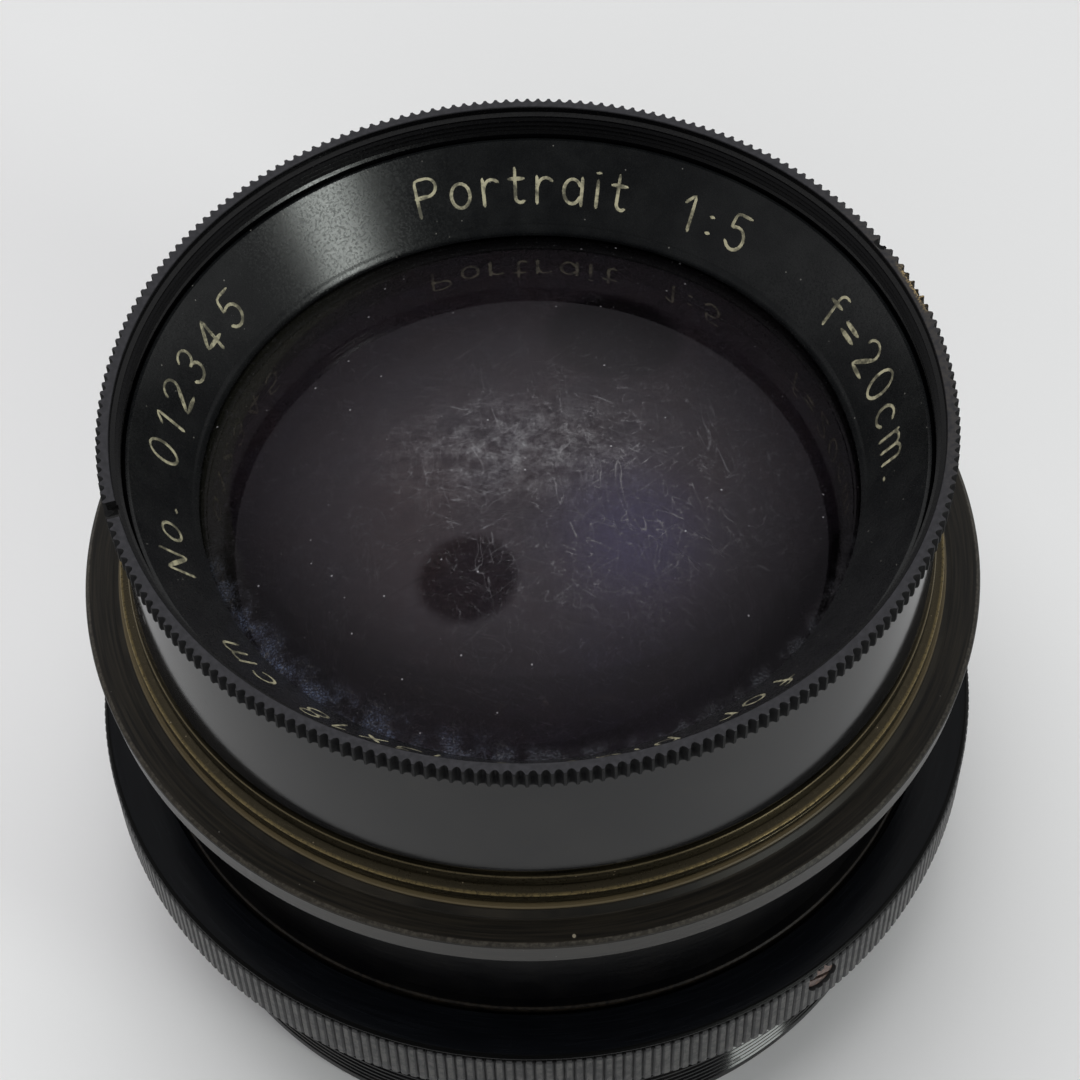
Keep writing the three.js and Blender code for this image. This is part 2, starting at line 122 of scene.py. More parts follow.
REAR_GLASS_R = outer_radius("doublet_rear_element")
REAR_STOP_R = 18.7
REAR_STOP_LOW_Z, REAR_STOP_TOP_Z = 1.5, 3.2
LIGHT_R = 20.5  # clear passage through the barrel
THREAD_R = 28.6
FRONT_BORE_R, FRONT_SEAT_Z = 27.3, 45.5
MIDDLE_BORE_R, MIDDLE_SEAT_Z, MIDDLE_LEDGE_Z = 23.8, 40, 27.9
FLAT_CURVE = -300
CEMENTED_CURVE = 46
OPEN_R = 18.8  # inner edge of the open iris leaves
LEAVES = 12
LEAF_OUT_R = 24.7
LEAF_TIP, LEAF_TAIL = 100, 9  # degrees
LEAF_LOW_Z = 18.6
LEAF_PITCH = 0.36
LEAF_THICK = 0.16
PIVOT_R = 25.8
PIN_R = 0.4
PIN_ARM = 4.8  # from the pivot to the driven pin
PIN_ARM_START = -100
CAM_R = outer_radius("iris_cam_ring")
BASE_PLATE_Z = 23
LOCK_RING_Z = 15.9

SCREW_LOW, SCREW_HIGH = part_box("iris_drive_screw")
SCREW_Z = (SCREW_LOW.z + SCREW_HIGH.z) / 2 / MM
SCREW_AZIMUTH = -53.4
NOTCH_AZIMUTH = 195.6
GRUB_AZIMUTH = 90
CHIP_AZIMUTH = 28
BARE_AZIMUTH = 19
FLANGE_CHIP = (2.1, -34.7)  # x and y of a fleck of bare metal on the flange, millimetres
GRUB_Z = (FLANGE_LOW_Z + FLANGE_TOP_Z) / 2

RIM_TEETH = 232
RIM_TOOTH_SAMPLES = 10
RING_RIDGES = 296
RIDGE_SAMPLES = 8
ROUND = 720  # segments of a plain ring
SHARP_ANGLE = 14


def add_object(name, data):
    obj = bpy.data.objects.new(name, data)
    bpy.context.scene.collection.objects.link(obj)
    return obj


# ---- Camera ----
CAMERA_PLACE = (0, -126.26, 211.93)
CAMERA_AIM = (0.6, -12.45, 56)
CAMERA_ROLL = -1.69
CAMERA_LENS = 90


def add_camera():
    data = bpy.data.cameras.new("camera")
    data.lens = CAMERA_LENS
    data.sensor_width = 36
    data.clip_start = 0.01
    camera = add_object("camera", data)
    place = Vector(CAMERA_PLACE) * MM
    aim = Vector(CAMERA_AIM) * MM
    turn = (aim - place).to_track_quat("-Z", "Y").to_matrix().to_4x4()
    roll = Matrix.Rotation(math.radians(CAMERA_ROLL), 4, "Z")
    camera.matrix_world = Matrix.Translation(place) @ turn @ roll
    bpy.context.scene.camera = camera


add_camera()


# ---- Mesh helpers ----
def finish_mesh(name, mesh, materials, sharp=SHARP_ANGLE):
    """Smooth shading with sharp edges, in an object of its own."""
    for material in materials:
        mesh.materials.append(material)
    mesh.shade_smooth()
    mesh.set_sharp_from_angle(angle=math.radians(sharp))
    return add_object(name, mesh)


def clean_mesh(mesh, weld=True, pick=None):
    """Welds the points, turns the faces outwards and gives each one the material that pick says."""
    tidy = bmesh.new()
    tidy.from_mesh(mesh)
    if weld:
        bmesh.ops.remove_doubles(tidy, verts=tidy.verts, dist=1e-7)
    bmesh.ops.recalc_face_normals(tidy, faces=tidy.faces)
    if pick:
        for face in tidy.faces:
            middle = face.calc_center_median() / MM
            face.material_index = pick(math.hypot(middle.x, middle.y), middle.z)
    tidy.to_mesh(mesh)
    tidy.free()


def revolve(name, outline, segments=ROUND, shape=None, materials=(), pick=None, sharp=SHARP_ANGLE):
    """A ring from an outline of (radius, height) points, or (radius, height, cut) where a cut of 1
    marks a point that the knurl moves. shape(radius, height, angle, cut) returns new radii and
    heights. pick(radius, height) gives the material index of a face from its middle."""
    points = np.array([(p[0], p[1], p[2] if len(p) > 2 else 0) for p in outline], float)
    count = len(points)
    angle = np.linspace(0, 2 * math.pi, segments, endpoint=False)[:, None]
    radius = np.repeat(points[None, :, 0], segments, axis=0)
    height = np.repeat(points[None, :, 1], segments, axis=0)
    cut = np.repeat(points[None, :, 2], segments, axis=0)
    if shape:
        radius, height = shape(radius, height, np.repeat(angle, count, axis=1), cut)
    place = np.stack([radius * np.cos(angle), radius * np.sin(angle), height], axis=2) * MM
    closed = points[0, 0] > 0
    steps = count if closed else count - 1
    faces = []
    for i in range(segments):
        here = i * count
        there = (i + 1) % segments * count
        for j in range(steps):
            k = (j + 1) % count
            faces.append((here + j, there + j, there + k, here + k))
    mesh = bpy.data.meshes.new(name)
    mesh.from_pydata(place.reshape(-1, 3).tolist(), [], faces)
    clean_mesh(mesh, not closed, pick)
    return finish_mesh(name, mesh, materials, sharp)


def polar(radius, azimuth):
    angle = math.radians(azimuth)
    return (radius * math.cos(angle), radius * math.sin(angle))


def outwards(azimuth, z):
    """Turns something made along +Z to point outwards at an azimuth, at height z."""
    turn = Matrix.Rotation(math.radians(azimuth), 4, "Z") @ Matrix.Rotation(math.radians(90), 4, "Y")
    return Matrix.Translation((0, 0, z * MM)) @ turn


def block(low, high, transform):
    """A box used as a cutting tool, in millimetres."""
    tool = bmesh.new()
    bmesh.ops.create_cube(tool, size=1)
    size = [b - a for a, b in zip(low, high)]
    middle = [(a + b) / 2 for a, b in zip(low, high)]
    bmesh.ops.scale(tool, vec=Vector(size) * MM, verts=tool.verts)
    bmesh.ops.translate(tool, vec=Vector(middle) * MM, verts=tool.verts)
    bmesh.ops.transform(tool, matrix=transform, verts=tool.verts)
    mesh = bpy.data.meshes.new("tool")
    tool.to_mesh(mesh)
    tool.free()
    return add_object("tool", mesh)


def carve(obj, tools):
    """Cuts the tools out of obj for good and removes them."""
    for tool in tools:
        step = obj.modifiers.new("carve", "BOOLEAN")
        step.operation = "DIFFERENCE"
        step.solver = "MANIFOLD"
        step.object = tool
    bpy.context.view_layer.update()
    shape = obj.evaluated_get(bpy.context.evaluated_depsgraph_get())
    mesh = bpy.data.meshes.new_from_object(shape)
    obj.modifiers.clear()
    obj.data = mesh
    mesh.shade_smooth()
    mesh.set_sharp_from_angle(angle=math.radians(SHARP_ANGLE))
    for tool in tools:
        bpy.data.objects.remove(tool)


def plate(name, outline, z, thick, materials, edge):
    """A flat plate with a small bevel of size edge, its lower face at height z."""
    curve = bpy.data.curves.new(name, "CURVE")
    curve.dimensions = "2D"
    curve.fill_mode = "BOTH"
    curve.extrude = (thick / 2 - edge) * MM
    curve.bevel_depth = edge * MM
    curve.bevel_resolution = 0
    curve.offset = -edge * MM
    spline = curve.splines.new("POLY")
    spline.points.add(len(outline) - 1)
    for point, (x, y) in zip(spline.points, outline):
        point.co = (x * MM, y * MM, 0, 1)
    spline.use_cyclic_u = True
    source = add_object(name, curve)
    bpy.context.view_layer.update()
    mesh = bpy.data.meshes.new_from_object(source.evaluated_get(bpy.context.evaluated_depsgraph_get()))
    bpy.data.objects.remove(source)
    mesh.transform(Matrix.Translation((0, 0, (z + thick / 2) * MM)))
    clean_mesh(mesh)
    return finish_mesh(name, mesh, materials)


def merge(base, others):
    """Joins the meshes of other objects into base, keeping their materials."""
    joined = bmesh.new()
    joined.from_mesh(base.data)
    for other in others:
        shift = len(base.data.materials)
        for material in other.data.materials:
            base.data.materials.append(material)
        start = len(joined.faces)
        joined.from_mesh(other.data)
        joined.faces.ensure_lookup_table()
        for face in joined.faces[start:]:
            face.material_index += shift
        bpy.data.objects.remove(other)
    joined.to_mesh(base.data)
    joined.free()
    return base


def stand_in(obj, node):
    """obj is what is seen of a CAD node, and moves with its body."""
    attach(obj, BODY_OF[node])
    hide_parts(node)


def plain_ring(node, outline, material):
    """A turned piece of one material that is what is seen of a CAD node."""
    stand_in(revolve(node + "_ring", outline, materials=(material,)), node)


# ---- Node helpers ----
def new_material(name, color, roughness, metallic=0.0, ior=1.5):
    material = bpy.data.materials.new(name)
    material.use_nodes = True
    bsdf = material.node_tree.nodes["Principled BSDF"]
    bsdf.inputs["Base Color"].default_value = (*color, 1)
    bsdf.inputs["Roughness"].default_value = roughness
    bsdf.inputs["Metallic"].default_value = metallic
    bsdf.inputs["IOR"].default_value = ior
    return material, material.node_tree


def finish_material(material, tone, roughness=None, relief=None, strength=1.0, depth=0.03):
    """Connects the colour, the roughness and a relief that is depth millimetres deep."""
    tree = material.node_tree
    bsdf = tree.nodes["Principled BSDF"]
    tree.links.new(tone, bsdf.inputs["Base Color"])
    if roughness:
        tree.links.new(roughness, bsdf.inputs["Roughness"])
    if relief:
        inputs = {"Height": relief, "Strength": strength, "Distance": depth * MM}
        normal = add_node(tree, "ShaderNodeBump", inputs).outputs[0]
        tree.links.new(normal, bsdf.inputs["Normal"])
    return material


def add_node(tree, kind, inputs=None, **settings):
    """A node with its settings, and inputs that are values or sockets to link."""
    made = tree.nodes.new(kind)
    for key, value in settings.items():
        setattr(made, key, value)
    for key, value in (inputs or {}).items():
        if isinstance(value, bpy.types.NodeSocket):
            tree.links.new(value, made.inputs[key])
        else:
            made.inputs[key].default_value = value
    return made


def math_node(tree, operation, a, b=0.0, clamp=False):
    return add_node(tree, "ShaderNodeMath", {0: a, 1: b}, operation=operation, use_clamp=clamp).outputs[0]


def times(tree, a, b):
    return math_node(tree, "MULTIPLY", a, b)


def most(tree, a, b):
    return math_node(tree, "MAXIMUM", a, b)


def vector_node(tree, operation, *inputs, output=0):
    inputs = dict(enumerate(inputs))
    return add_node(tree, "ShaderNodeVectorMath", inputs, operation=operation).outputs[output]


def scaled(tree, vector, factor):
    return add_node(tree, "ShaderNodeVectorMath", {0: vector, 3: factor}, operation="SCALE").outputs[0]


def millimetres(tree):
    """The place on the piece in millimetres, as a vector."""
    return scaled(tree, add_node(tree, "ShaderNodeTexCoord").outputs["Object"], 1 / MM)


Space = namedtuple("Space", "place radius height direction")


def cylinder_space(tree):
    """The place on the piece, with its radius, its height and the direction from the axis."""
    place = millimetres(tree)
    parts = add_node(tree, "ShaderNodeSeparateXYZ", {0: place})
    flat = add_node(tree, "ShaderNodeCombineXYZ", {0: parts.outputs[0], 1: parts.outputs[1]}).outputs[0]
    radius = vector_node(tree, "LENGTH", flat, output="Value")
    return Space(place, radius, parts.outputs[2], vector_node(tree, "NORMALIZE", flat))


def azimuth_near(tree, direction, azimuth, half_width):
    """1 at an azimuth, falling to 0 at half_width degrees to its sides."""
    match = vector_node(tree, "DOT_PRODUCT", direction, (*polar(1, azimuth), 0), output="Value")
    return fade(tree, match, math.cos(math.radians(half_width)), 1)


def fade(tree, value, start, end, low=0.0, high=1.0):
    """Maps a value smoothly from start..end to low..high."""
    inputs = {0: value, 1: start, 2: end, 3: low, 4: high}
    return add_node(tree, "ShaderNodeMapRange", inputs, interpolation_type="SMOOTHSTEP").outputs[0]


def noise(tree, vector, scale, detail=3.0, roughness=0.6, distortion=0.0):
    inputs = {"Vector": vector, "Scale": scale, "Detail": detail}
    inputs.update({"Roughness": roughness, "Distortion": distortion})
    return add_node(tree, "ShaderNodeTexNoise", inputs).outputs[0]


def turning_lines(tree, along, across, detail=2.0):
    """Noise drawn out round the axis, as a lathe tool or a polishing cloth leaves it."""
    at = cylinder_space(tree)
    depth = times(tree, math_node(tree, "ADD", at.radius, at.height), across)
    lift = add_node(tree, "ShaderNodeCombineXYZ", {2: depth}).outputs[0]
    return noise(tree, vector_node(tree, "ADD", scaled(tree, at.direction, along), lift), 1.0, detail)


def mix_colors(tree, share, first, second):
    """Mixes two colours, each a socket or a tuple of three numbers."""
    inputs = {"Factor": share}
    for key, color in ((6, first), (7, second)):
        inputs[key] = (*color, 1.0) if isinstance(color, tuple) else color
    return add_node(tree, "ShaderNodeMix", inputs, data_type="RGBA").outputs[2]


def shades(tree, field, start, end, first, second):
    """A colour that goes from first to second as a noise goes from start to end."""
    return mix_colors(tree, fade(tree, field, start, end), first, second)


# ---- Materials ----
BLACK = (0.006, 0.006, 0.0065)
BROWN_BLACK = (0.019, 0.014, 0.010)
OLD_BRASS = (0.16, 0.115, 0.045)
DUST = (0.30, 0.29, 0.26)


def specks(tree, place, scale, threshold):
    """Sparse small spots, 1 inside a spot."""
    cells = add_node(tree, "ShaderNodeTexVoronoi", {"Vector": place, "Scale": scale, "Randomness": 1.0})
    near = fade(tree, cells.outputs["Distance"], threshold, threshold * 0.55)
    chosen = add_node(tree, "ShaderNodeSeparateColor", {0: cells.outputs["Color"]}).outputs[0]
    return times(tree, near, math_node(tree, "GREATER_THAN", chosen, 0.55))


def blob(tree, place, centre, radii, edge=0.6):
    """A soft elliptical patch: 1 in the middle, 0 outside. centre and radii are in millimetres."""
    offset = vector_node(tree, "SUBTRACT", place, (*centre, 0))
    offset = vector_node(tree, "MULTIPLY", offset, (1 / radii[0], 1 / radii[1], 0))
    return fade(tree, vector_node(tree, "LENGTH", offset, output="Value"), 1.0, 1.0 - edge)


def scratches(tree, place, scale, turn, threshold):
    """Thin curved hairlines: the contour lines of a drawn-out noise."""
    inputs = {"Vector": place, "Angle": math.radians(turn)}
    turned = add_node(tree, "ShaderNodeVectorRotate", inputs, rotation_type="Z_AXIS").outputs[0]
    field = noise(tree, vector_node(tree, "MULTIPLY", turned, (0.16, 1.0, 1.0)), scale, 2, 0.5, 0.4)
    offset = math_node(tree, "ABSOLUTE", math_node(tree, "SUBTRACT", field, 0.5))
    return fade(tree, offset, threshold, 0.0)


LACQUER_RELIEF = 0.0015  # millimetres
LACQUER_SLOPE = 42  # the lacquer is thicker towards the foot of each wall, in reliefs per millimetre


def lacquer_material():
    """Glossy black lacquer with faint polishing lines and small stains."""
    material, tree = new_material("black_lacquer", BLACK, 0.1, ior=1.37)
    at = cylinder_space(tree)
    clouds = noise(tree, at.place, 0.12, 4)
    lines = turning_lines(tree, 6.0, 9.0)
    stains = specks(tree, at.place, 0.35, 0.16)
    tone = shades(tree, clouds, 0.4, 0.75, BLACK, (0.011, 0.0105, 0.010))
    tone = mix_colors(tree, times(tree, stains, 0.4), tone, (0.02, 0.018, 0.014))
    shine = fade(tree, lines, 0.3, 0.8, 0.08, 0.14)
    rough = math_node(tree, "ADD", shine, times(tree, stains, 0.12))
    relief = math_node(tree, "SUBTRACT", lines, times(tree, at.height, LACQUER_SLOPE))
    return finish_material(material, tone, rough, relief, 1, LACQUER_RELIEF)


def rim_material():
    """Satin black of the serrated rim: near black on its toothed side below the flat top, browned and chipped
    on one side.
    """
    material, tree = new_material("rim_black", (0.03, 0.03, 0.032), 0.36, ior=1.38)
    at = cylinder_space(tree)
    grain = noise(tree, at.place, 2.5, 4)
    fine = noise(tree, at.place, 5.5, 4, 0.7)
    worn_side = azimuth_near(tree, at.direction, 12, 34)
    brown = times(tree, worn_side, fade(tree, grain, 0.38, 0.62))
    tone = shades(tree, grain, 0.3, 0.75, (0.016, 0.016, 0.0185), (0.033, 0.032, 0.037))
    tone = mix_colors(tree, times(tree, brown, 0.6), tone, (0.042, 0.037, 0.030))
    flecks = times(tree, fade(tree, fine, 0.66, 0.72), fade(tree, at.radius, RIM_R - 0.4, RIM_R - 0.1))
    tone = mix_colors(tree, times(tree, flecks, 0.4), tone, (0.22, 0.19, 0.13))
    bare = azimuth_near(tree, at.direction, BARE_AZIMUTH, 5.5)
    bare = times(tree, bare, fade(tree, at.radius, TUBE_R + 0.25, TUBE_R + 0.55))
    bare = times(tree, bare, fade(tree, fine, 0.46, 0.56))
    tone = mix_colors(tree, bare, tone, (0.36, 0.26, 0.12))
    # The toothed side below the flat top is near black, far darker than the top.
    side = fade(tree, at.height, HEIGHT - 0.01, HEIGHT - 0.06)
    tooth_black = mix_colors(tree, 0.12, (0.001, 0.001, 0.0012), tone)
    tone = mix_colors(tree, side, tone, tooth_black)
    rough = fade(tree, grain, 0.3, 0.7, 0.3, 0.42)
    rough = math_node(tree, "ADD", rough, times(tree, side, 0.4))
    return finish_material(material, tone, rough, grain, 0.15)


def recess_material():
    """Satin black inside the front: the cone has a fine grain, the threaded bore is deeper black."""
    material, tree = new_material("recess_black", (0.010, 0.011, 0.012), 0.3, ior=1.5)
    at = cylinder_space(tree)
    grain = noise(tree, at.place, 4.5, 4, 0.7)
    clouds = noise(tree, at.place, 0.35, 4)
    tone = shades(tree, clouds, 0.35, 0.7, (0.0045, 0.005, 0.0055), (0.0085, 0.0092, 0.0095))
    dust = times(tree, specks(tree, at.place, 0.9, 0.07), 0.6)
    tone = mix_colors(tree, dust, tone, DUST)
    bore = fade(tree, at.radius, NAME_R + 0.02, NAME_R + 0.1)
    tone = mix_colors(tree, bore, tone, (0.0012, 0.0012, 0.0015))
    return finish_material(material, tone, fade(tree, grain, 0.35, 0.7, 0.2, 0.33), grain, 0.25, 0.02)


def brass_material():
    """Lacquered brass worn through at the edges: olive-brown with thin gold lines round it."""
    material, tree = new_material("worn_brass", OLD_BRASS, 0.32, metallic=0.8)
    at = cylinder_space(tree)
    lines = turning_lines(tree, 5.0, 7.0, 4)
    grain = noise(tree, at.place, 3.2, 5, 0.7)
    ledge = fade(tree, at.height, COLLAR_LOW_Z + 0.72, COLLAR_LOW_Z + 0.84)
    ledge = times(tree, ledge, fade(tree, at.radius, COLLAR_STEP_R - 0.02, COLLAR_STEP_R + 0.08))
    bead = times(tree, ledge, fade(tree, at.radius, COLLAR_R - 0.28, COLLAR_R - 0.1))
    top_edge = times(
        tree,
        fade(tree, at.radius, COLLAR_STEP_R - 0.14, COLLAR_STEP_R - 0.04),
        fade(tree, at.height, COLLAR_TOP_Z - 0.42, COLLAR_TOP_Z - 0.3),
    )
    tone = shades(tree, lines, 0.36, 0.64, (0.020, 0.017, 0.010), (0.055, 0.045, 0.026))
    tone = mix_colors(tree, times(tree, ledge, 0.8), tone, (0.075, 0.062, 0.038))
    gold = times(tree, bead, fade(tree, grain, 0.35, 0.6, 0.3, 1.0))
    tone = mix_colors(tree, gold, tone, (0.24, 0.185, 0.085))
    tone = mix_colors(tree, times(tree, top_edge, 0.6), tone, (0.18, 0.145, 0.08))
    tone = mix_colors(tree, specks(tree, at.place, 1.1, 0.08), tone, (0.4, 0.33, 0.22))
    return finish_material(material, tone, fade(tree, grain, 0.3, 0.7, 0.24, 0.42), lines, 0.25)


def flange_material():
    """Brown-black satin lacquer with a rubbed outer edge and a dull gold line on the boss."""
    material, tree = new_material("brown_lacquer", BROWN_BLACK, 0.3, ior=1.35)
    at = cylinder_space(tree)
    lines = turning_lines(tree, 4.0, 5.0, 4)
    grain = noise(tree, at.place, 3.0, 5, 0.7)
    tone = shades(tree, lines, 0.35, 0.7, (0.006, 0.0054, 0.0046), (0.019, 0.016, 0.0115))
    corner = fade(tree, at.radius, FLANGE_R - 0.42, FLANGE_R - 0.3)
    corner = times(tree, corner, fade(tree, at.height, FLANGE_TOP_Z - 0.3, FLANGE_TOP_Z - 0.1))
    rubbed = times(tree, corner, fade(tree, grain, 0.42, 0.62, 0.1, 0.45))
    tone = mix_colors(tree, rubbed, tone, (0.10, 0.088, 0.07))
    boss = fade(tree, at.radius, BOSS_R + 0.1, BOSS_R - 0.02)
    boss = times(tree, boss, fade(tree, at.height, FLANGE_TOP_Z + 0.5, FLANGE_TOP_Z + 0.72))
    tone = mix_colors(tree, times(tree, boss, 0.8), tone, (0.11, 0.085, 0.045))
    dust = times(tree, specks(tree, at.place, 0.8, 0.05), 0.5)
    tone = mix_colors(tree, dust, tone, DUST)
    tone = mix_colors(tree, blob(tree, at.place, FLANGE_CHIP, (0.16, 0.2), 0.4), tone, (0.26, 0.23, 0.17))
    wall = fade(tree, at.radius, FLANGE_R - 0.4, FLANGE_R - 0.28)
    wall = times(tree, wall, fade(tree, at.height, FLANGE_TOP_Z - 0.1, FLANGE_TOP_Z - 0.3))
    return finish_material(material, tone, fade(tree, wall, 0.0, 1.0, 0.45, 0.4), lines, 0.12)


def matt_material():
    """Matt black of the body and the inner parts; the low band by the iris ring is rubbed brown."""
    material, tree = new_material("matt_black", (0.003, 0.003, 0.0035), 0.4, ior=1.3)
    at = cylinder_space(tree)
    lines = turning_lines(tree, 8.0, 8.0, 3)
    clouds = noise(tree, at.place, 0.3, 4)
    tone = shades(tree, clouds, 0.35, 0.7, (0.0012, 0.0012, 0.0016), (0.003, 0.0028, 0.003))
    band = fade(tree, at.radius, BODY_BAND_R - 0.25, BODY_BAND_R - 0.1)
    worn = times(tree, band, fade(tree, noise(tree, at.place, 2.2, 4), 0.35, 0.6, 0.2, 1.0))
    tone = mix_colors(tree, worn, tone, (0.014, 0.011, 0.008))
    return finish_material(material, tone, fade(tree, lines, 0.3, 0.7, 0.3, 0.44), lines, 0.15)


def ring_material():
    """Iris ring: blue-black satin face, ridges rubbed to grey, darker toward the groove floors, with painted
    shade, near black, at the top ends of the grooves.
    """
    material, tree = new_material("knurled_black", (0.04, 0.04, 0.042), 0.36, ior=1.26)
    at = cylinder_space(tree)
    grain = noise(tree, at.place, 1.8, 5, 0.7)
    lines = turning_lines(tree, 8.0, 8.0, 3)
    face = shades(tree, lines, 0.35, 0.7, (0.002, 0.0024, 0.0034), (0.004, 0.0046, 0.006))
    ridge = shades(tree, grain, 0.35, 0.65, (0.024, 0.024, 0.025), (0.046, 0.046, 0.047))
    groove_floor = fade(tree, at.radius, IRIS_RING_R - 0.06, IRIS_RING_R - 0.18)
    ridge = mix_colors(tree, times(tree, groove_floor, 0.6), ridge, (0.012, 0.012, 0.012))
    crest = fade(tree, at.radius, IRIS_RING_R - 0.02, IRIS_RING_R)
    rubbed = times(tree, crest, fade(tree, grain, 0.4, 0.6))
    ridge = mix_colors(tree, times(tree, rubbed, 0.3), ridge, (0.13, 0.125, 0.11))
    # Painted shade: near black at the top ends of the grooves.
    ends = times(
        tree,
        fade(tree, at.height, IRIS_RING_TOP_Z - 1.25, IRIS_RING_TOP_Z - 0.95),
        fade(tree, at.radius, IRIS_RING_R - 0.06, IRIS_RING_R - 0.16),
    )
    ridge = mix_colors(tree, ends, ridge, (0.001, 0.001, 0.001))
    outer = fade(tree, at.radius, IRIS_RING_R - 0.5, IRIS_RING_R - 0.4)
    tone = mix_colors(tree, outer, face, ridge)
    return finish_material(material, tone, fade(tree, outer, 0.0, 1.0, 0.22, 0.4), lines, 0.12)


def screw_material():
    """Browned brass of the screws, dirty in the slot."""
    material, tree = new_material("aged_brass", (0.13, 0.07, 0.05), 0.42, metallic=0.5)
    place = millimetres(tree)
    grain = noise(tree, place, 2.6, 5, 0.7)
    tone = shades(tree, grain, 0.35, 0.65, (0.05, 0.03, 0.024), (0.22, 0.15, 0.125))
    return finish_material(material, tone, fade(tree, grain, 0.3, 0.7, 0.3, 0.55), grain, 0.3, 0.05)


def leaf_material():
    """Blued steel of the iris leaves."""
    material, tree = new_material("leaf_steel", (0.02, 0.022, 0.026), 0.42, metallic=0.6)
    place = millimetres(tree)
    grain = noise(tree, place, 0.9, 5, 0.65)
    tone = shades(tree, grain, 0.35, 0.7, (0.014, 0.015, 0.018), (0.03, 0.031, 0.036))
    return finish_material(material, tone, fade(tree, grain, 0.3, 0.7, 0.34, 0.5), grain, 0.1, 0.02)


def paint_material():
    """Cream filling of the engraving, rubbed and dirty in places."""
    material, tree = new_material("letter_paint", (0.40, 0.38, 0.27), 0.6)
    place = millimetres(tree)
    wear = noise(tree, place, 0.9, 4, 0.7)
    tone = shades(tree, wear, 0.38, 0.62, (0.09, 0.085, 0.06), (0.46, 0.43, 0.29))
    return finish_material(material, tone, relief=wear, strength=0.2, depth=0.02)


def edge_bloom(tree, at, azimuth, half_width, reach):
    """Fungus or haze creeping in from the edge of the glass on one side: a soft glow with fine dots."""
    side = azimuth_near(tree, at.direction, azimuth, half_width)
    depth = fade(tree, at.radius, CLEAR_R - reach, CLEAR_R - 0.3)
    patchy = fade(tree, noise(tree, at.place, 0.55, 3), 0.4, 0.62, 0.2, 1.0)
    dots = fade(tree, noise(tree, at.place, 6.5, 3, 0.8), 0.46, 0.64, 0.3, 1.0)
    return times(tree, times(tree, times(tree, side, depth), patchy), dots)


def front_glass_material():
    """Old front glass: clear under a film of dust, cleaning marks and a fungus bloom at the edge. The lighter
    haze inside the inner disc and the olive crescent beyond it on the left are painted light from inside the
    lens.
    """
    material, tree = new_material("front_glass", (1, 1, 1), 0.02, ior=1.52)
    bsdf = tree.nodes["Principled BSDF"]
    bsdf.inputs["Specular Tint"].default_value = (0.97, 0.9, 1.0, 1)
    at = cylinder_space(tree)
    fine = noise(tree, at.place, 4.2, 5, 0.8)
    clouds = noise(tree, at.place, 0.16, 5, 0.6, 1.2)

    def add(share, amount, base):
        return math_node(tree, "ADD", base, times(tree, share, amount))

    # Painted light: the haze and its grit are lighter inside the inner disc, standing in for light inside the
    # lens that lights it.
    lit_disc = fade(tree, at.radius, INNER_DISC_R + 0.1, INNER_DISC_R - 0.1)
    grit = fade(tree, fine, 0.42, 0.78)
    film = add(lit_disc, 0.002, fade(tree, clouds, 0.3, 0.75, 0.001, 0.003))
    film = add(times(tree, grit, lit_disc), 0.016, film)
    halo = blob(tree, at.place, (3, -4), (18, 12.5), 0.45)
    film = add(times(tree, halo, fade(tree, fine, 0.3, 0.7, 0.5, 1.0)), 0.010, film)
    mottle = fade(tree, noise(tree, at.place, 0.75, 6, 0.78), 0.36, 0.66)
    cloud = times(tree, blob(tree, at.place, (-0.5, -0.5), (15, 8), 0.95), mottle)
    film = add(times(tree, cloud, fade(tree, fine, 0.36, 0.64, 0.25, 1.0)), 0.24, film)
    blue_patch = blob(tree, at.place, (7.5, -8), (9, 9), 0.9)
    film = add(times(tree, blue_patch, fade(tree, fine, 0.35, 0.65, 0.3, 1.0)), 0.055, film)
    # Painted light: an olive crescent on the left beyond the inner disc, the lit inner wall seen through the
    # glass, laid on the glass as film.
    beyond_lit_disc = fade(tree, at.radius, INNER_DISC_R - 0.1, INNER_DISC_R + 0.1)
    olive = times(tree, azimuth_near(tree, at.direction, 158, 62), beyond_lit_disc)
    film = add(olive, 0.014, film)
    hair = most(
        tree,
        scratches(tree, at.place, 0.9, 25, 0.006),
        most(tree, scratches(tree, at.place, 0.8, -40, 0.006), scratches(tree, at.place, 0.7, 80, 0.005)),
    )
    film = add(times(tree, hair, blob(tree, at.place, (3, -4), (20, 16), 0.6)), 0.09, film)
    blue = edge_bloom(tree, at, -128, 50, 3.0)
    grey = edge_bloom(tree, at, -62, 60, 1.4)
    dust = specks(tree, at.place, 0.75, 0.08)
    small_dust = specks(tree, at.place, 2.1, 0.10)
    film = add(blue, 0.17, film)
    film = add(grey, 0.1, film)
    film = add(dust, 0.3, film)
    film = math_node(tree, "MINIMUM", add(small_dust, 0.12, film), 1.0)
    tone = shades(tree, clouds, 0.35, 0.65, (0.26, 0.205, 0.225), (0.235, 0.21, 0.25))
    tone = mix_colors(tree, blue_patch, tone, (0.26, 0.24, 0.52))
    tone = mix_colors(tree, blob(tree, at.place, (-9, -6), (7, 10), 0.9), tone, (0.30, 0.20, 0.19))
    tone = mix_colors(tree, cloud, tone, (0.60, 0.60, 0.62))
    # Painted light: the olive tint of that crescent.
    tone = mix_colors(tree, olive, tone, (0.30, 0.30, 0.22))
    tone = mix_colors(tree, blue, tone, (0.40, 0.52, 0.84))
    tone = mix_colors(tree, grey, tone, (0.60, 0.66, 0.74))
    marks = most(tree, hair, most(tree, dust, small_dust))
    tone = mix_colors(tree, marks, tone, (0.64, 0.63, 0.66))
    tree.links.new(math_node(tree, "SUBTRACT", 1.0, film), bsdf.inputs["Transmission Weight"])
    return finish_material(material, tone)


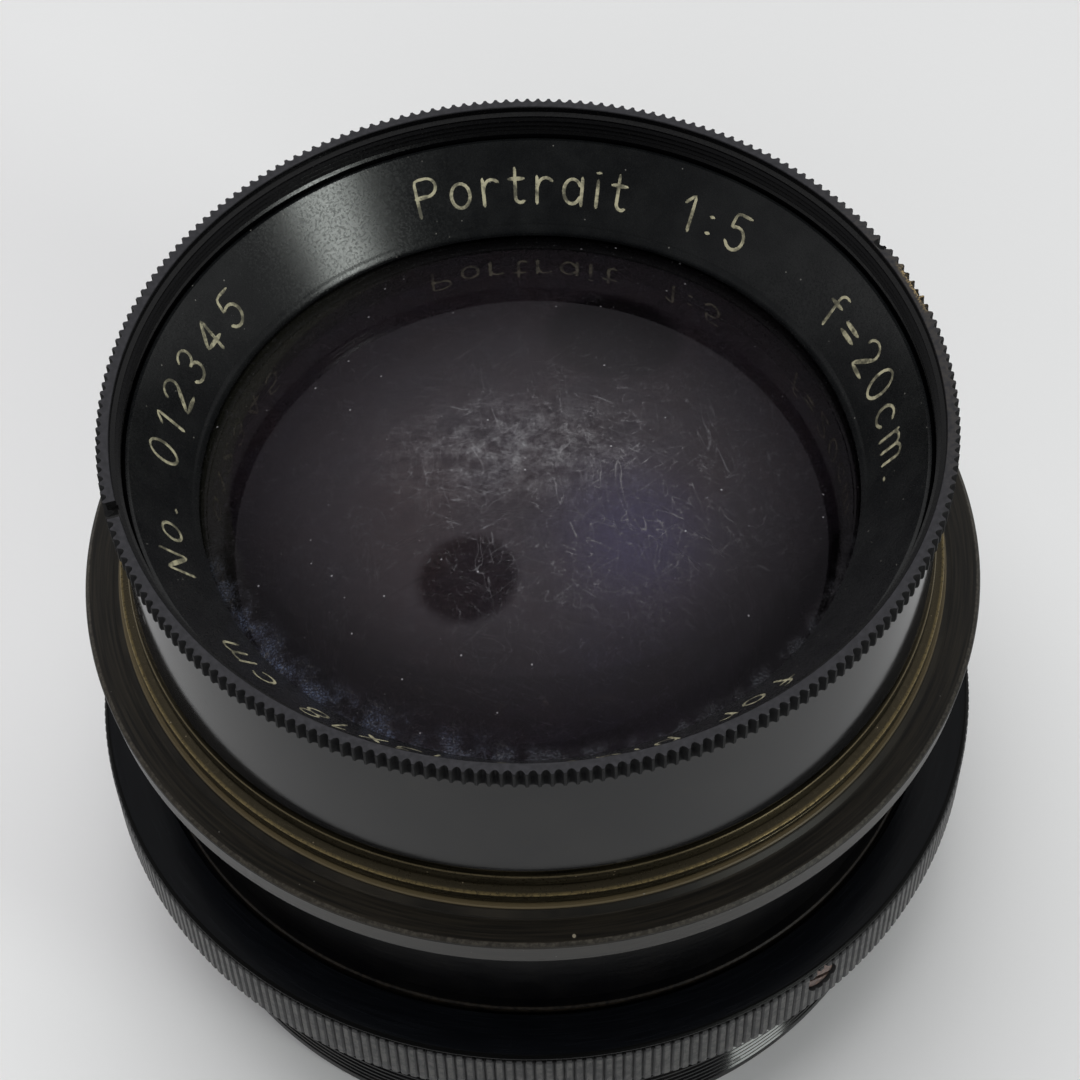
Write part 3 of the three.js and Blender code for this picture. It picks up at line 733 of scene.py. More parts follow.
def inner_glass_material():
    """Clear inner glass with a trace of haze."""
    material, tree = new_material("inner_glass", (1, 1, 1), 0.02, ior=1.58)
    bsdf = tree.nodes["Principled BSDF"]
    bsdf.inputs["Specular IOR Level"].default_value = 0.1
    place = millimetres(tree)
    clouds = noise(tree, place, 0.22, 5, 0.65, 0.8)
    clear = fade(tree, clouds, 0.4, 0.75, 0.998, 0.99)
    tone = shades(tree, clouds, 0.4, 0.7, (0.8, 0.78, 0.84), (0.7, 0.66, 0.78))
    tree.links.new(clear, bsdf.inputs["Transmission Weight"])
    return finish_material(material, tone)


def floor_material():
    """Pale paper with a barely visible tooth."""
    material, tree = new_material("pale_paper", (0.78, 0.78, 0.77), 0.6)
    coordinates = add_node(tree, "ShaderNodeTexCoord").outputs["Object"]
    tooth = noise(tree, coordinates, 900, 3)
    shade = noise(tree, coordinates, 6, 2)
    tone = shades(tree, shade, 0.3, 0.7, (0.775, 0.775, 0.778), (0.80, 0.80, 0.803))
    return finish_material(material, tone, relief=tooth, strength=0.1, depth=0.1)


LACQUER = lacquer_material()
RIM_BLACK = rim_material()
RECESS_BLACK = recess_material()
WORN_BRASS = brass_material()
BROWN_LACQUER = flange_material()
MATT_BLACK = matt_material()
RING_BLACK = ring_material()
SCREW_BRASS = screw_material()
LEAF_STEEL = leaf_material()
LETTER_PAINT = paint_material()
FRONT_GLASS = front_glass_material()
INNER_GLASS = inner_glass_material()
PAPER = floor_material()


# ---- Knurls ----
def groove(angle, count, share, power):
    """Depth share of a knurl: 0 on a crest, 1 in the middle of a groove."""
    place = angle * count / (2 * math.pi) % 1 - 0.5
    inside = np.clip(1 - np.abs(place) / (share / 2), 0, 1)
    return np.sin(inside * math.pi / 2) ** power


def bump_at(angle, azimuth, half_width):
    """1 at an azimuth, 0 beyond half_width degrees from it."""
    away = np.degrees((angle - math.radians(azimuth) + math.pi) % (2 * math.pi) - math.pi)
    return np.clip(1 - (away / half_width) ** 2, 0, 1)


def shape_rim(radius, height, angle, cut):
    """Cuts the teeth, dents the rim where it was knocked and files its edge where brass shows."""
    depth = groove(angle, RIM_TEETH, 0.8, 0.75) * RIM_GROOVE_DEPTH * cut
    on_flat = (height > HEIGHT - 0.5) & (radius > TUBE_R + 0.2)
    chip = bump_at(angle, CHIP_AZIMUTH, 1.1) * on_flat * (radius > TUBE_R + 0.35)
    ripple = 0.5 + 0.5 * np.sin(angle * 310) * np.sin(angle * 173)
    filed = bump_at(angle, BARE_AZIMUTH, 4.5) * on_flat * (radius > RIM_R - 0.4) * ripple
    return radius - depth - 0.16 * filed, height - 0.45 * chip - 0.3 * filed


def shape_ridges(radius, height, angle, cut):
    return radius - groove(angle, RING_RIDGES, 0.34, 0.9) * 0.18 * cut, height


# ---- Front cell ----
def thread(radius, low, high, pitch, depth):
    """Outline points of a fine thread's ridges, from high down to low; negative depth cuts outwards."""
    points = []
    turns = int((high - low) / pitch)
    for i in range(turns):
        top = high - i * pitch
        points += [(radius, top), (radius - depth, top - pitch * 0.35)]
        points += [(radius - depth, top - pitch * 0.5), (radius, top - pitch * 0.85)]
    return points


def front_barrel():
    rim_low = HEIGHT - RIM_H
    bore = NAME_R + 0.35
    outline = [
        (LIGHT_R, FRONT_LOW_Z), (THREAD_R, FRONT_LOW_Z), (THREAD_R, SHOULDER_Z),
        (WALL_LOW_R - 0.15, SHOULDER_Z - 0.15), (WALL_LOW_R, SHOULDER_Z + 0.05),
        (WALL_TOP_R, rim_low - 0.25), (TUBE_R + 0.05, rim_low - 0.1), (TUBE_R + 0.3, rim_low),
        (RIM_R - 0.2, rim_low + 0.02, 0.2), (RIM_R - 0.05, rim_low + 0.12, 0.45),
        (RIM_R, rim_low + 0.3, 0.75), (RIM_R, rim_low + 0.6, 1), (RIM_R, HEIGHT - 0.7, 1),
        (RIM_R, HEIGHT - 0.3, 0.85), (RIM_R, HEIGHT - 0.06, 0.55), (RIM_R - 0.06, HEIGHT, 0.5),
        (RIM_R - 0.2, HEIGHT, 0.3), (RIM_R - 0.45, HEIGHT), (TUBE_R + 0.08, HEIGHT),
        (TUBE_R, HEIGHT - 0.08), (TUBE_R, HEIGHT - 0.55), (bore + 0.2, HEIGHT - 0.7),
    ]
    outline += thread(bore + 0.2, HEIGHT - 2.3, HEIGHT - 0.85, 0.48, 0.22)
    outline += [
        (bore, HEIGHT - 2.5), (bore, FRONT_SEAT_Z), (FRONT_BORE_R, FRONT_SEAT_Z),
        (FRONT_BORE_R, MIDDLE_SEAT_Z), (MIDDLE_BORE_R, MIDDLE_SEAT_Z),
        (MIDDLE_BORE_R, MIDDLE_LEDGE_Z), (LIGHT_R, MIDDLE_LEDGE_Z),
    ]

    def pick(radius, height):
        if height > HEIGHT - RIM_H - 0.05 and radius > TUBE_R + 0.02:
            return 1
        return 2 if radius < WALL_TOP_R - 0.05 or height > HEIGHT - RIM_H else 0

    obj = revolve("front_barrel_shell", outline, RIM_TEETH * RIM_TOOTH_SAMPLES, shape_rim,
                  (LACQUER, RIM_BLACK, RECESS_BLACK), pick)
    turn = Matrix.Rotation(math.radians(NOTCH_AZIMUTH), 4, "Z")
    carve(obj, [block((30.9, -0.75, HEIGHT - 0.85), (33, 0.75, HEIGHT + 1), turn)])
    stand_in(obj, "front_barrel")


CONE_OUT = (NAME_R - 0.2, NAME_TOP_Z)
CONE_IN = (CLEAR_R + 0.02, NAME_LIP_Z)


def name_ring_blank():
    out_r, out_z = CONE_OUT
    in_r, in_z = CONE_IN

    def on_cone(share, sink=0.0):
        return (out_r + (in_r - out_r) * share - sink * 0.8, out_z + (in_z - out_z) * share - sink * 0.6)

    outline = [
        (CLEAR_R, in_z - 0.35), (27.2, NAME_LOW_Z + 0.4), (27.8, NAME_LOW_Z), (NAME_R + 0.3, NAME_LOW_Z),
        (NAME_R + 0.3, out_z - 0.25), (NAME_R + 0.05, out_z - 0.02), (out_r, out_z), on_cone(0.03, 0.02),
        on_cone(0.5), on_cone(0.9), on_cone(0.905, -0.12), on_cone(0.93, -0.12), on_cone(0.935),
        on_cone(0.99), (CLEAR_R, in_z - 0.08),
    ]
    return revolve("name_ring_cone", outline, materials=(RECESS_BLACK,))


# ---- Engraving ----
# Glyph strokes in units of the capital height, from a baseline at 0.
def bow(x, y, rx, ry, start, end, steps=12):
    """Points of an elliptical arc between two angles in degrees."""
    points = []
    for i in range(steps + 1):
        angle = math.radians(start + (end - start) * i / steps)
        points.append((x + rx * math.cos(angle), y + ry * math.sin(angle)))
    return points


def dot(x, y):
    return [(x - 0.01, y), (x + 0.01, y)]


GLYPHS = {
    " ": (0.35, []),
    ".": (0.1, [dot(0.05, 0.03)]),
    ":": (0.1, [dot(0.05, 0.12), dot(0.05, 0.58)]),
    "=": (0.5, [[(0, 0.3), (0.5, 0.3)], [(0, 0.56), (0.5, 0.56)]]),
    "0": (0.54, [bow(0.27, 0.5, 0.27, 0.5, 90, 450, 20)]),
    "1": (0.3, [[(0.04, 0.74), (0.26, 1), (0.26, 0)]]),
    "2": (0.54, [bow(0.27, 0.73, 0.26, 0.27, 165, -30) + [(0, 0), (0.54, 0)]]),
    "3": (0.52, [bow(0.24, 0.75, 0.23, 0.25, 150, -80), bow(0.24, 0.26, 0.27, 0.26, 85, -150)]),
    "4": (0.58, [[(0.42, 0), (0.42, 1), (0, 0.28), (0.58, 0.28)]]),
    "5": (0.52, [[(0.5, 1), (0.1, 1), (0.05, 0.56)] + bow(0.25, 0.32, 0.27, 0.32, 110, -145)]),
    "8": (0.52, [bow(0.26, 0.76, 0.22, 0.24, -90, 270, 18), bow(0.26, 0.26, 0.26, 0.26, 90, 450, 18)]),
    "N": (0.6, [[(0, 0), (0, 1), (0.6, 0), (0.6, 1)]]),
    "P": (0.56, [[(0, 0), (0, 1), (0.3, 1)] + bow(0.3, 0.75, 0.26, 0.25, 80, -90) + [(0, 0.5)]]),
    "a": (0.5, [bow(0.24, 0.34, 0.24, 0.34, 30, 330, 16), [(0.5, 0.7), (0.5, 0)]]),
    "c": (0.48, [bow(0.27, 0.34, 0.27, 0.34, 45, 315, 16)]),
    "e": (0.5, [[(0.02, 0.36), (0.5, 0.36)] + bow(0.26, 0.34, 0.25, 0.34, 10, 310, 16)]),
    "f": (0.38, [bow(0.36, 0.78, 0.2, 0.22, 75, 180, 8) + [(0.16, 0)], [(0, 0.66), (0.36, 0.66)]]),
    "i": (0.1, [[(0.05, 0), (0.05, 0.68)], dot(0.05, 0.92)]),
    "l": (0.1, [[(0.05, 0), (0.05, 1)]]),
    "m": (0.76, [[(0, 0), (0, 0.68)], [(0, 0.44)] + bow(0.19, 0.48, 0.19, 0.2, 170, 0, 8) + [(0.38, 0)],
                 [(0.38, 0.44)] + bow(0.57, 0.48, 0.19, 0.2, 170, 0, 8) + [(0.76, 0)]]),
    "o": (0.52, [bow(0.26, 0.34, 0.26, 0.34, 90, 450, 18)]),
    "p": (0.5, [[(0, -0.28), (0, 0.68)], bow(0.25, 0.34, 0.25, 0.34, 150, -150, 16)]),
    "r": (0.36, [[(0, 0), (0, 0.68)], [(0, 0.4)] + bow(0.24, 0.42, 0.22, 0.26, 160, 50, 8)]),
    "s": (0.42, [bow(0.21, 0.51, 0.19, 0.17, 30, 250, 10) + bow(0.21, 0.17, 0.2, 0.17, 70, -150, 10)]),
    "t": (0.36, [[(0.14, 0.92), (0.14, 0.16)] + bow(0.28, 0.16, 0.14, 0.16, 190, 300, 6),
                 [(0, 0.66), (0.34, 0.66)]]),
    "x": (0.44, [[(0, 0), (0.44, 0.68)], [(0, 0.68), (0.44, 0)]]),
}

CAP_HEIGHT = 3.0
STROKE_HALF = 0.2
BASELINE = 0.67  # share of the way down the cone
LETTER_LIFT = 0.012
LETTER_SINK = 0.005

INSCRIPTIONS = (
    # text, azimuth where it starts, capital heights between letters
    ("Portrait", 107.6, 0.38),
    ("1:5", 61.5, 0.5),
    ("f=20cm.", 29.5, 0.42),
    ("for plates 13x18 cm", -49.5, 0.40),
    ("No. 012345", -158.7, 0.5),
)


def stroke_ribbon(points):
    """Cross-sections of a stroke as (left, middle, right) points, with blunt rounded ends."""
    path = [Vector(point) for point in points]
    sections = []
    for i, here in enumerate(path):
        before = path[max(i - 1, 0)]
        after = path[min(i + 1, len(path) - 1)]
        along = (after - before).normalized()
        side = Vector((-along.y, along.x)) * STROKE_HALF
        if i == 0:
            sections.append([here - along * STROKE_HALF + side * k for k in (0.4, 0, -0.4)])
        sections.append([here + side * k for k in (1, 0, -1)])
        if i == len(path) - 1:
            sections.append([here + along * STROKE_HALF + side * k for k in (0.4, 0, -0.4)])
    return sections


def soften(points, reach=0.12):
    """Rounds the corners of a stroke and keeps its ends."""
    result = [points[0]]
    for before, here, after in zip(points, points[1:], points[2:]):
        a, b, c = Vector(before), Vector(here), Vector(after)
        if (b - a).angle(c - b, 0) < math.radians(35):
            result.append(here)
            continue
        near = b + (a - b).normalized() * min(reach, (a - b).length / 2)
        far = b + (c - b).normalized() * min(reach, (c - b).length / 2)
        result += [tuple(near), tuple((near + far + 2 * b) / 4), tuple(far)]
    result.append(points[-1])
    return result


def lettering():
    """The paint in the engraving: a thin rounded ribbon for each stroke, laid on the cone."""
    out = Vector(CONE_OUT)
    inner = Vector(CONE_IN)
    slope = (out - inner).normalized()
    normal = Vector((-slope.y, slope.x))
    base = out + (inner - out) * BASELINE
    letter_r = (base + slope * CAP_HEIGHT / 2).x
    vertices = []
    faces = []

    def place(point, azimuth, lift):
        radius, height = base + slope * point.y + normal * lift
        x, y = polar(radius, azimuth - math.degrees(point.x / letter_r))
        return (x * MM, y * MM, height * MM)

    for text, azimuth, gap in INSCRIPTIONS:
        cursor = 0.0
        for character in text:
            width, strokes = GLYPHS[character]
            for stroke in strokes:
                points = [((cursor + x) * CAP_HEIGHT, y * CAP_HEIGHT) for x, y in soften(stroke)]
                start = len(vertices)
                sections = stroke_ribbon(points)
                for left, middle, right in sections:
                    vertices.append(place(left, azimuth, -LETTER_SINK))
                    vertices.append(place(middle, azimuth, LETTER_LIFT))
                    vertices.append(place(right, azimuth, -LETTER_SINK))
                for i in range(len(sections) - 1):
                    a = start + 3 * i
                    faces.append((a, a + 3, a + 4, a + 1))
                    faces.append((a + 1, a + 4, a + 5, a + 2))
            cursor += width + gap
    mesh = bpy.data.meshes.new("lettering")
    mesh.from_pydata(vertices, [], faces)
    return finish_mesh("lettering", mesh, (LETTER_PAINT,), 180)


def name_ring():
    stand_in(merge(name_ring_blank(), [lettering()]), "name_ring")


# ---- Glass ----
def surface(vertex_z, curve, start, end, steps=14):
    """Outline points of a spherical surface; a positive curve bulges upwards."""
    points = []
    for i in range(steps + 1):
        radius = start + (end - start) * i / steps
        sag = abs(curve) - math.sqrt(curve * curve - radius * radius)
        points.append((radius, vertex_z - math.copysign(sag, curve)))
    return points


def lens_element(node, outline, material):
    obj = revolve(node + "_glass", outline, 240, materials=(material,), sharp=40)
    stand_in(obj, node)


def glass():
    front_edge = GLASS_R - 0.15
    middle_edge = 22.2
    lens_element("front_element", [
        *surface(40.6, FLAT_CURVE, 0, front_edge, 6), (GLASS_R, 42.1), (GLASS_R, FRONT_SEAT_Z),
        *surface(51.9, 64, front_edge, 0, 20),
    ], FRONT_GLASS)
    lens_element("middle_element", [
        *surface(33.4, 52, 0, middle_edge), (23.5, 28.3), (23.5, 40.1), *surface(36.7, -75, middle_edge, 0),
    ], INNER_GLASS)
    lens_element("doublet_front_element", [
        *surface(9.8, CEMENTED_CURVE, 0, REAR_GLASS_R), *surface(12.1, FLAT_CURVE, REAR_GLASS_R, 0, 6),
    ], INNER_GLASS)
    lens_element("doublet_rear_element", [
        *surface(1.2, -76, 0, REAR_GLASS_R), *surface(9.5, CEMENTED_CURVE, REAR_GLASS_R, 0),
    ], INNER_GLASS)


def front_spacer():
    outline = [(22.8, 40.45), (27, 40.3), (27, 41.5), (26.2, 41.9), (23.2, 41.35), (22.8, 41.1)]
    plain_ring("front_spacer", outline, RECESS_BLACK)


# ---- Body ----
def main_barrel():
    groove_r = BODY_R - 0.15
    shelf_top = BODY_TOP_Z - 2.7
    outline = [
        (BODY_BORE_R, BODY_LOW_Z), (BODY_R, BODY_LOW_Z), (BODY_R, 20.8), (BODY_BAND_R, 20.85),
        (BODY_BAND_R, IRIS_RING_TOP_Z), (BODY_BAND_R - 0.12, IRIS_RING_TOP_Z + 0.15),
        (BODY_R, IRIS_RING_TOP_Z + 0.18), (BODY_R, FLANGE_LOW_Z - 0.8), (groove_r, FLANGE_LOW_Z - 0.6),
        (groove_r, FLANGE_LOW_Z - 0.2), (BODY_R, FLANGE_LOW_Z), (BODY_R, shelf_top), (BODY_BORE_R, shelf_top),
        (BODY_BORE_R, BODY_TOP_Z), (28.9, BODY_TOP_Z), (28.9, 26.1), (20.8, 26.1), (20.8, 24.3),
        (BODY_BORE_R, 24.3),
    ]
    stand_in(revolve("main_barrel_tube", outline, materials=(MATT_BLACK,)), "main_barrel")


def stepped_collar():
    bore = 30.7
    low = COLLAR_LOW_Z - 0.25
    ledge = low + 1.2
    out = COLLAR_R
    step = COLLAR_STEP_R
    top = COLLAR_TOP_Z
    outline = [
        (bore, low), (out - 0.1, low), (out - 0.02, low + 0.12), (out - 0.02, low + 0.5),
        (out - 0.07, low + 0.55), (out - 0.02, low + 0.6), (out, ledge - 0.12), (out - 0.05, ledge - 0.05),
        (step + 0.12, ledge + 0.1), (step - 0.03, ledge + 0.12), (step - 0.03, ledge + 0.5),
        (step, ledge + 0.55), (step, top - 0.3), (step - 0.06, top - 0.22), (step - 0.42, top - 0.2),
        (step - 0.5, top + 0.02), (bore, top + 0.02),
    ]
    plain_ring("stepped_collar", outline, WORN_BRASS)


def shoulder_flange():
    bore = BODY_R + 0.02
    low = FLANGE_LOW_Z
    top = FLANGE_TOP_Z
    outline = [
        (bore, low), (FLANGE_LOW_R - 0.15, low), (FLANGE_LOW_R, low + 0.15), (FLANGE_R, top - 0.35),
        (FLANGE_R - 0.06, top - 0.2), (FLANGE_R - 0.3, top), (FLANGE_R - 0.42, top), (33.3, top - 0.02),
        (33.15, top + 0.02), (BOSS_R + 0.05, top + 0.35), (BOSS_R, top + 0.45), (BOSS_R, top + 0.65),
        (BOSS_R - 0.1, top + 0.75), (bore, top + 0.75),
    ]
    obj = revolve("shoulder_flange_ring", outline, materials=(BROWN_LACQUER,))
    carve(obj, [round_tool(0.75, 33, 37, GRUB_AZIMUTH, GRUB_Z)])
    stand_in(obj, "shoulder_flange")


def round_tool(radius, low, high, azimuth, z):
    """A round bar pointing outwards, used as a cutting tool."""
    tool = revolve("tool", [(0, low), (radius, low), (radius, high), (0, high)], 48)
    tool.data.transform(outwards(azimuth, z))
    return tool


def screw(name, radius, shank_radius, low, head_low, top, azimuth, z, slot_turn):
    """A slotted screw pointing outwards; its slot is turned by slot_turn degrees."""
    outline = [
        (0, low), (shank_radius, low), (shank_radius, head_low), (radius, head_low),
        (radius, top - 0.2), (radius - 0.12, top - 0.06), (radius - 0.35, top), (0, top + 0.03),
    ]
    obj = revolve(name, outline, 64, materials=(SCREW_BRASS,))
    turn = Matrix.Rotation(math.radians(slot_turn), 4, "Z")
    carve(obj, [block((-radius - 1, -0.22, top - 0.55), (radius + 1, 0.22, top + 1), turn)])
    obj.data.transform(outwards(azimuth, z))
    return obj


def grub_screw():
    low = BODY_R + 0.1
    top = FLANGE_R - 0.35
    obj = screw("flange_grub_screw_steel", 0.7, 0.5, low, 33.6, top, GRUB_AZIMUTH, GRUB_Z, 25)
    stand_in(obj, "flange_grub_screw")


def ring_retainer():
    bore = BODY_R + 0.02
    low = RETAINER_LOW_Z
    top = IRIS_RING_LOW_Z - 0.1
    outline = [
        (bore, low), (RETAINER_R - 0.4, low), (RETAINER_R, low + 0.4), (RETAINER_R, top - 0.1),
        (RETAINER_R - 0.1, top), (bore, top),
    ]
    plain_ring("ring_retainer", outline, MATT_BLACK)


# ---- Iris ----
def iris_ring():
    low = IRIS_RING_LOW_Z
    top = IRIS_RING_TOP_Z
    out = IRIS_RING_R
    outline = [
        (BODY_R + 0.1, low), (out - 0.45, low), (out - 0.2, low + 0.06, 0.5), (out - 0.03, low + 0.25, 1),
        (out, low + 0.45, 1), (out, low + 2.8, 1), (out, top - 1.4, 1), (out, top - 1.1, 1.5),
        (out - 0.06, top - 0.9, 2.2), (out - 0.12, top - 0.78, 2), (out - 0.22, top - 0.7),
        (out - 0.14, top - 0.6), (out - 0.14, top - 0.5), (out - 0.3, top - 0.38), (out - 0.55, top - 0.33),
        (34, top - 0.12), (BOSS_R + 0.1, top - 0.02), (BOSS_R, top - 0.1), (BOSS_R, top - 1.05),
        (BODY_R + 0.1, top - 1.05),
    ]
    obj = revolve("iris_ring_knurled", outline, RING_RIDGES * RIDGE_SAMPLES, shape_ridges, (RING_BLACK,))
    carve(obj, [
        round_tool(1.1, 31, 35, SCREW_AZIMUTH, SCREW_Z),
        round_tool(1.45, 34.3, 38, SCREW_AZIMUTH, SCREW_Z),
    ])
    stand_in(obj, "iris_ring")


def drive_screw():
    obj = screw("iris_drive_screw_brass", 1.38, 0.8, 29.5, 34.4, SCREW_HEAD_R, SCREW_AZIMUTH, SCREW_Z, 62)
    stand_in(obj, "iris_drive_screw")


def leaf_outline(index):
    """Arc-shaped leaf with round ends and a lug for its two pins, turned to its place."""
    steps = 48
    points = []
    for i in range(steps + 1):
        points.append(polar(LEAF_OUT_R, -2 + (LEAF_TIP + 2) * i / steps))
    middle = (OPEN_R + LEAF_OUT_R) / 2
    half = (LEAF_OUT_R - OPEN_R) / 2
    for i in range(1, 12):
        angle = math.radians(180 * i / 12)
        radius = middle + half * math.cos(angle)
        points.append(polar(radius, LEAF_TIP + math.degrees(half * math.sin(angle) / middle)))
    for i in range(steps + 1):
        points.append(polar(OPEN_R, LEAF_TIP - (LEAF_TIP + LEAF_TAIL) * i / steps))
    pivot = Vector(polar(PIVOT_R, 0))
    driven = pivot + Vector(polar(PIN_ARM, PIN_ARM_START))
    points += [tuple(driven + Vector(polar(0.75, a))) for a in range(-150, 61, 30)]
    points += [tuple(pivot + Vector(polar(1.2, a))) for a in range(-60, 91, 25)]
    turn = Matrix.Rotation(math.radians(360 * index / LEAVES), 2)
    return [tuple(turn @ Vector(point)) for point in points]


def pin(azimuth, arm, low, high):
    """A pin of a leaf: at its pivot, or at the end of its driven arm."""
    centre = Vector(polar(PIVOT_R, azimuth)) + Vector(polar(arm, azimuth + PIN_ARM_START))
    outline = [
        (0, low), (PIN_R - 0.02, low), (PIN_R, low + 0.05), (PIN_R, high - 0.05), (PIN_R - 0.02, high),
        (0, high),
    ]
    made = revolve("pin", outline, 16, materials=(LEAF_STEEL,))
    made.data.transform(Matrix.Translation((centre.x * MM, centre.y * MM, 0)))
    return made


def iris_leaves():
    for index in range(LEAVES):
        node = f"iris_leaf_{index + 1:02d}"
        level = LEAF_LOW_Z + LEAF_PITCH * index
        azimuth = 360 * index / LEAVES
        obj = plate(node + "_blade", leaf_outline(index), level, LEAF_THICK, (LEAF_STEEL,), 0.015)
        pins = [pin(azimuth, 0, level + 0.1, 23.9), pin(azimuth, PIN_ARM, 17.4, level + 0.1)]
        stand_in(merge(obj, pins), node)


def iris_plates():
    low = BASE_PLATE_Z
    top = low + 1
    inner = OPEN_R + 0.1
    outline = [
        (inner, low + 0.1), (inner + 0.1, low), (CAM_R, low), (CAM_R, top), (inner + 0.1, top),
        (inner, top - 0.1),
    ]
    plain_ring("iris_base_plate", outline, MATT_BLACK)
    low = LOCK_RING_Z
    top = low + 1
    plain_ring("iris_lock_ring", [(LIGHT_R, low), (CAM_R, low), (CAM_R, top), (LIGHT_R, top)], MATT_BLACK)
    for slot in frame["nodes"]["iris_cam_ring"].material_slots:
        slot.material = MATT_BLACK


# ---- Rear ----
def rear_barrel():
    groove_r = REAR_R - 0.2
    outline = [(REAR_BORE_R, 0.1), (REAR_BORE_R + 0.1, 0), (REAR_R - 0.25, 0), (REAR_R, 0.25), (REAR_R, 0.9)]
    for i in range(8):
        z = 0.9 + 0.7 * i
        outline += [(REAR_R, z + 0.1), (groove_r, z + 0.28), (groove_r, z + 0.42), (REAR_R, z + 0.6)]
    outline += [
        (REAR_R, REAR_TOP_Z + 0.2), (PLUG_R, REAR_TOP_Z + 0.2), (PLUG_R, PLUG_TOP_Z),
        (THREAD_R, PLUG_TOP_Z), (THREAD_R, WEB_TOP_Z), (CELL_R + 0.05, WEB_TOP_Z),
        (CELL_R + 0.05, WEB_LOW_Z), (REAR_BORE_R, WEB_LOW_Z),
    ]
    stand_in(revolve("rear_barrel_shell", outline, materials=(LACQUER,)), "rear_barrel")


def rear_cell():
    bore = REAR_GLASS_R + 0.05
    thread_r = CELL_R + 0.02
    shoulder_top = WEB_LOW_Z - 0.02
    lip_r = 19.3
    outline = [
        (bore, CELL_LOW_Z), (CELL_R - 0.2, CELL_LOW_Z), (CELL_R, CELL_LOW_Z + 0.2), (CELL_R, CELL_SHOULDER_Z),
        (CELL_SHOULDER_R - 0.2, CELL_SHOULDER_Z), (CELL_SHOULDER_R, CELL_SHOULDER_Z + 0.2),
        (CELL_SHOULDER_R, shoulder_top), (thread_r, shoulder_top), (thread_r, CELL_TOP_Z),
        (lip_r, CELL_TOP_Z), (lip_r, CELL_TOP_Z - 0.5), (bore, CELL_TOP_Z - 0.5),
    ]
    plain_ring("rear_cell", outline, MATT_BLACK)


def rear_retainer():
    inner = REAR_STOP_R
    low = REAR_STOP_LOW_Z
    top = REAR_STOP_TOP_Z
    outline = [
        (inner + 0.1, low), (REAR_GLASS_R, low), (REAR_GLASS_R, top), (inner + 0.1, top), (inner, top - 0.1),
        (inner, low + 0.1),
    ]
    obj = revolve("rear_retainer_ring", outline, materials=(MATT_BLACK,))
    notch = ((-0.75, 18, low - 1), (0.75, 19.8, low + 0.7))
    carve(obj, [block(*notch, Matrix.Rotation(math.radians(turn), 4, "Z")) for turn in (0, 180)])
    stand_in(obj, "rear_retainer")


for build in (
    front_barrel, name_ring, glass, front_spacer, main_barrel, stepped_collar, shoulder_flange, grub_screw,
    ring_retainer, iris_ring, drive_screw, iris_leaves, iris_plates, rear_barrel, rear_cell, rear_retainer,
):
    build()


# ---- Stage ----
FLOOR_REACH = 6.0  # metres
HORIZON = (0.5, 0.5, 0.5)
ROOM = (0.16, 0.16, 0.165)
LAMP = (0.62, 0.62, 0.62)
HUB = (0.03, 0.03, 0.03)
LAMP_AZIMUTH, LAMP_ELEVATION = 88, 62
LAMP_INNER, LAMP_OUTER = 10, 42  # degrees from the middle of the lamp: full, and faded out
HUB_AZIMUTH, HUB_ELEVATION, HUB_RADIUS = 123, 73, 7
VIEWER_AZIMUTH, VIEWER_ELEVATION = -90, 35
VIEWER_INNER, VIEWER_OUTER = 20, 55


def add_floor():
    mesh = bpy.data.meshes.new("floor")
    corners = [(-1, -1), (1, -1), (1, 1), (-1, 1)]
    mesh.from_pydata([(x * FLOOR_REACH, y * FLOOR_REACH, 0) for x, y in corners], [], [(0, 1, 2, 3)])
    floor = finish_mesh("floor", mesh, (PAPER,))


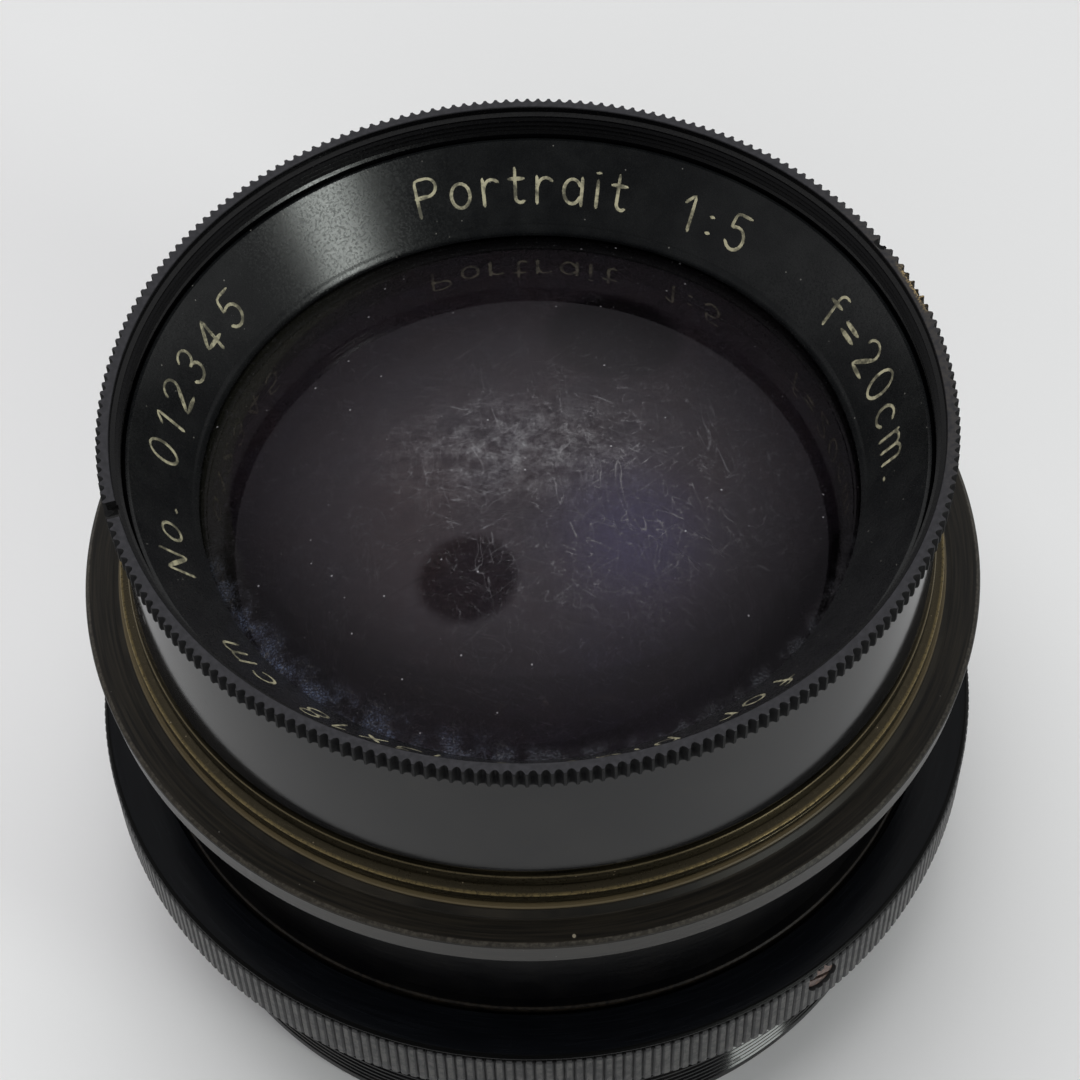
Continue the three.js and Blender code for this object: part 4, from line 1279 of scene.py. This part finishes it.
def add_world():
    """A dim room with a pale horizon, one broad soft light almost overhead with a dark hub in it, and a
    dark patch in front, where the viewer stands."""
    world = bpy.data.worlds.new("room")
    bpy.context.scene.world = world
    world.use_nodes = True
    tree = world.node_tree
    background = tree.nodes["Background"]
    toward = add_node(tree, "ShaderNodeTexCoord").outputs["Generated"]
    height = add_node(tree, "ShaderNodeSeparateXYZ", {0: toward}).outputs[2]

    def closeness(azimuth, elevation):
        level = math.cos(math.radians(elevation))
        target = (*[level * k for k in polar(1, azimuth)], math.sin(math.radians(elevation)))
        return vector_node(tree, "DOT_PRODUCT", toward, target, output="Value")

    def around(azimuth, elevation, inner, outer):
        """1 within inner degrees of a direction, 0 beyond outer degrees."""
        edges = [math.cos(math.radians(a)) for a in (outer, inner)]
        return fade(tree, closeness(azimuth, elevation), *edges)

    room = mix_colors(tree, fade(tree, height, 0.12, 0.35), HORIZON, ROOM)
    lamp = around(LAMP_AZIMUTH, LAMP_ELEVATION, LAMP_INNER, LAMP_OUTER)
    room = mix_colors(tree, lamp, room, LAMP)
    viewer = around(VIEWER_AZIMUTH, VIEWER_ELEVATION, VIEWER_INNER, VIEWER_OUTER)
    room = mix_colors(tree, times(tree, viewer, 0.8), room, HUB)
    hub = around(HUB_AZIMUTH, HUB_ELEVATION, HUB_RADIUS - 1.2, HUB_RADIUS + 1.2)
    room = mix_colors(tree, hub, room, HUB)
    tree.links.new(room, background.inputs["Color"])


def add_area_light(name, place, aim, size, power, color, mirrored=True, in_glass=True):
    """A light in metres and watts. One that isn't mirrored shows in no reflection. in_glass says whether
    it is also seen through the glass."""
    data = bpy.data.lights.new(name, "AREA")
    data.shape = "RECTANGLE"
    data.size, data.size_y = size
    data.energy = power
    data.color = color
    light = add_object(name, data)
    light.location = place
    light.rotation_euler = (Vector(aim) - Vector(place)).to_track_quat("-Z", "Y").to_euler()
    light.visible_glossy = mirrored
    light.visible_transmission = mirrored and in_glass


add_floor()
add_world()
add_area_light("ceiling", (-0.15, 0.25, 1.3), (0, 0, 0), (1.2, 1.2), 13, (1, 1, 1), mirrored=False)
add_area_light("fill", (-0.2, -1.0, 0.6), (0, -0.1, 0), (1.2, 0.8), 4.5, (0.99, 0.99, 1), mirrored=False)
add_area_light("window", (0.8, -0.61, 0.48), (0, 0, 0.05), (0.24, 0.3), 2.6, (0.94, 1, 0.95), in_glass=False)
bpy.context.scene.view_settings.view_transform = "Standard"
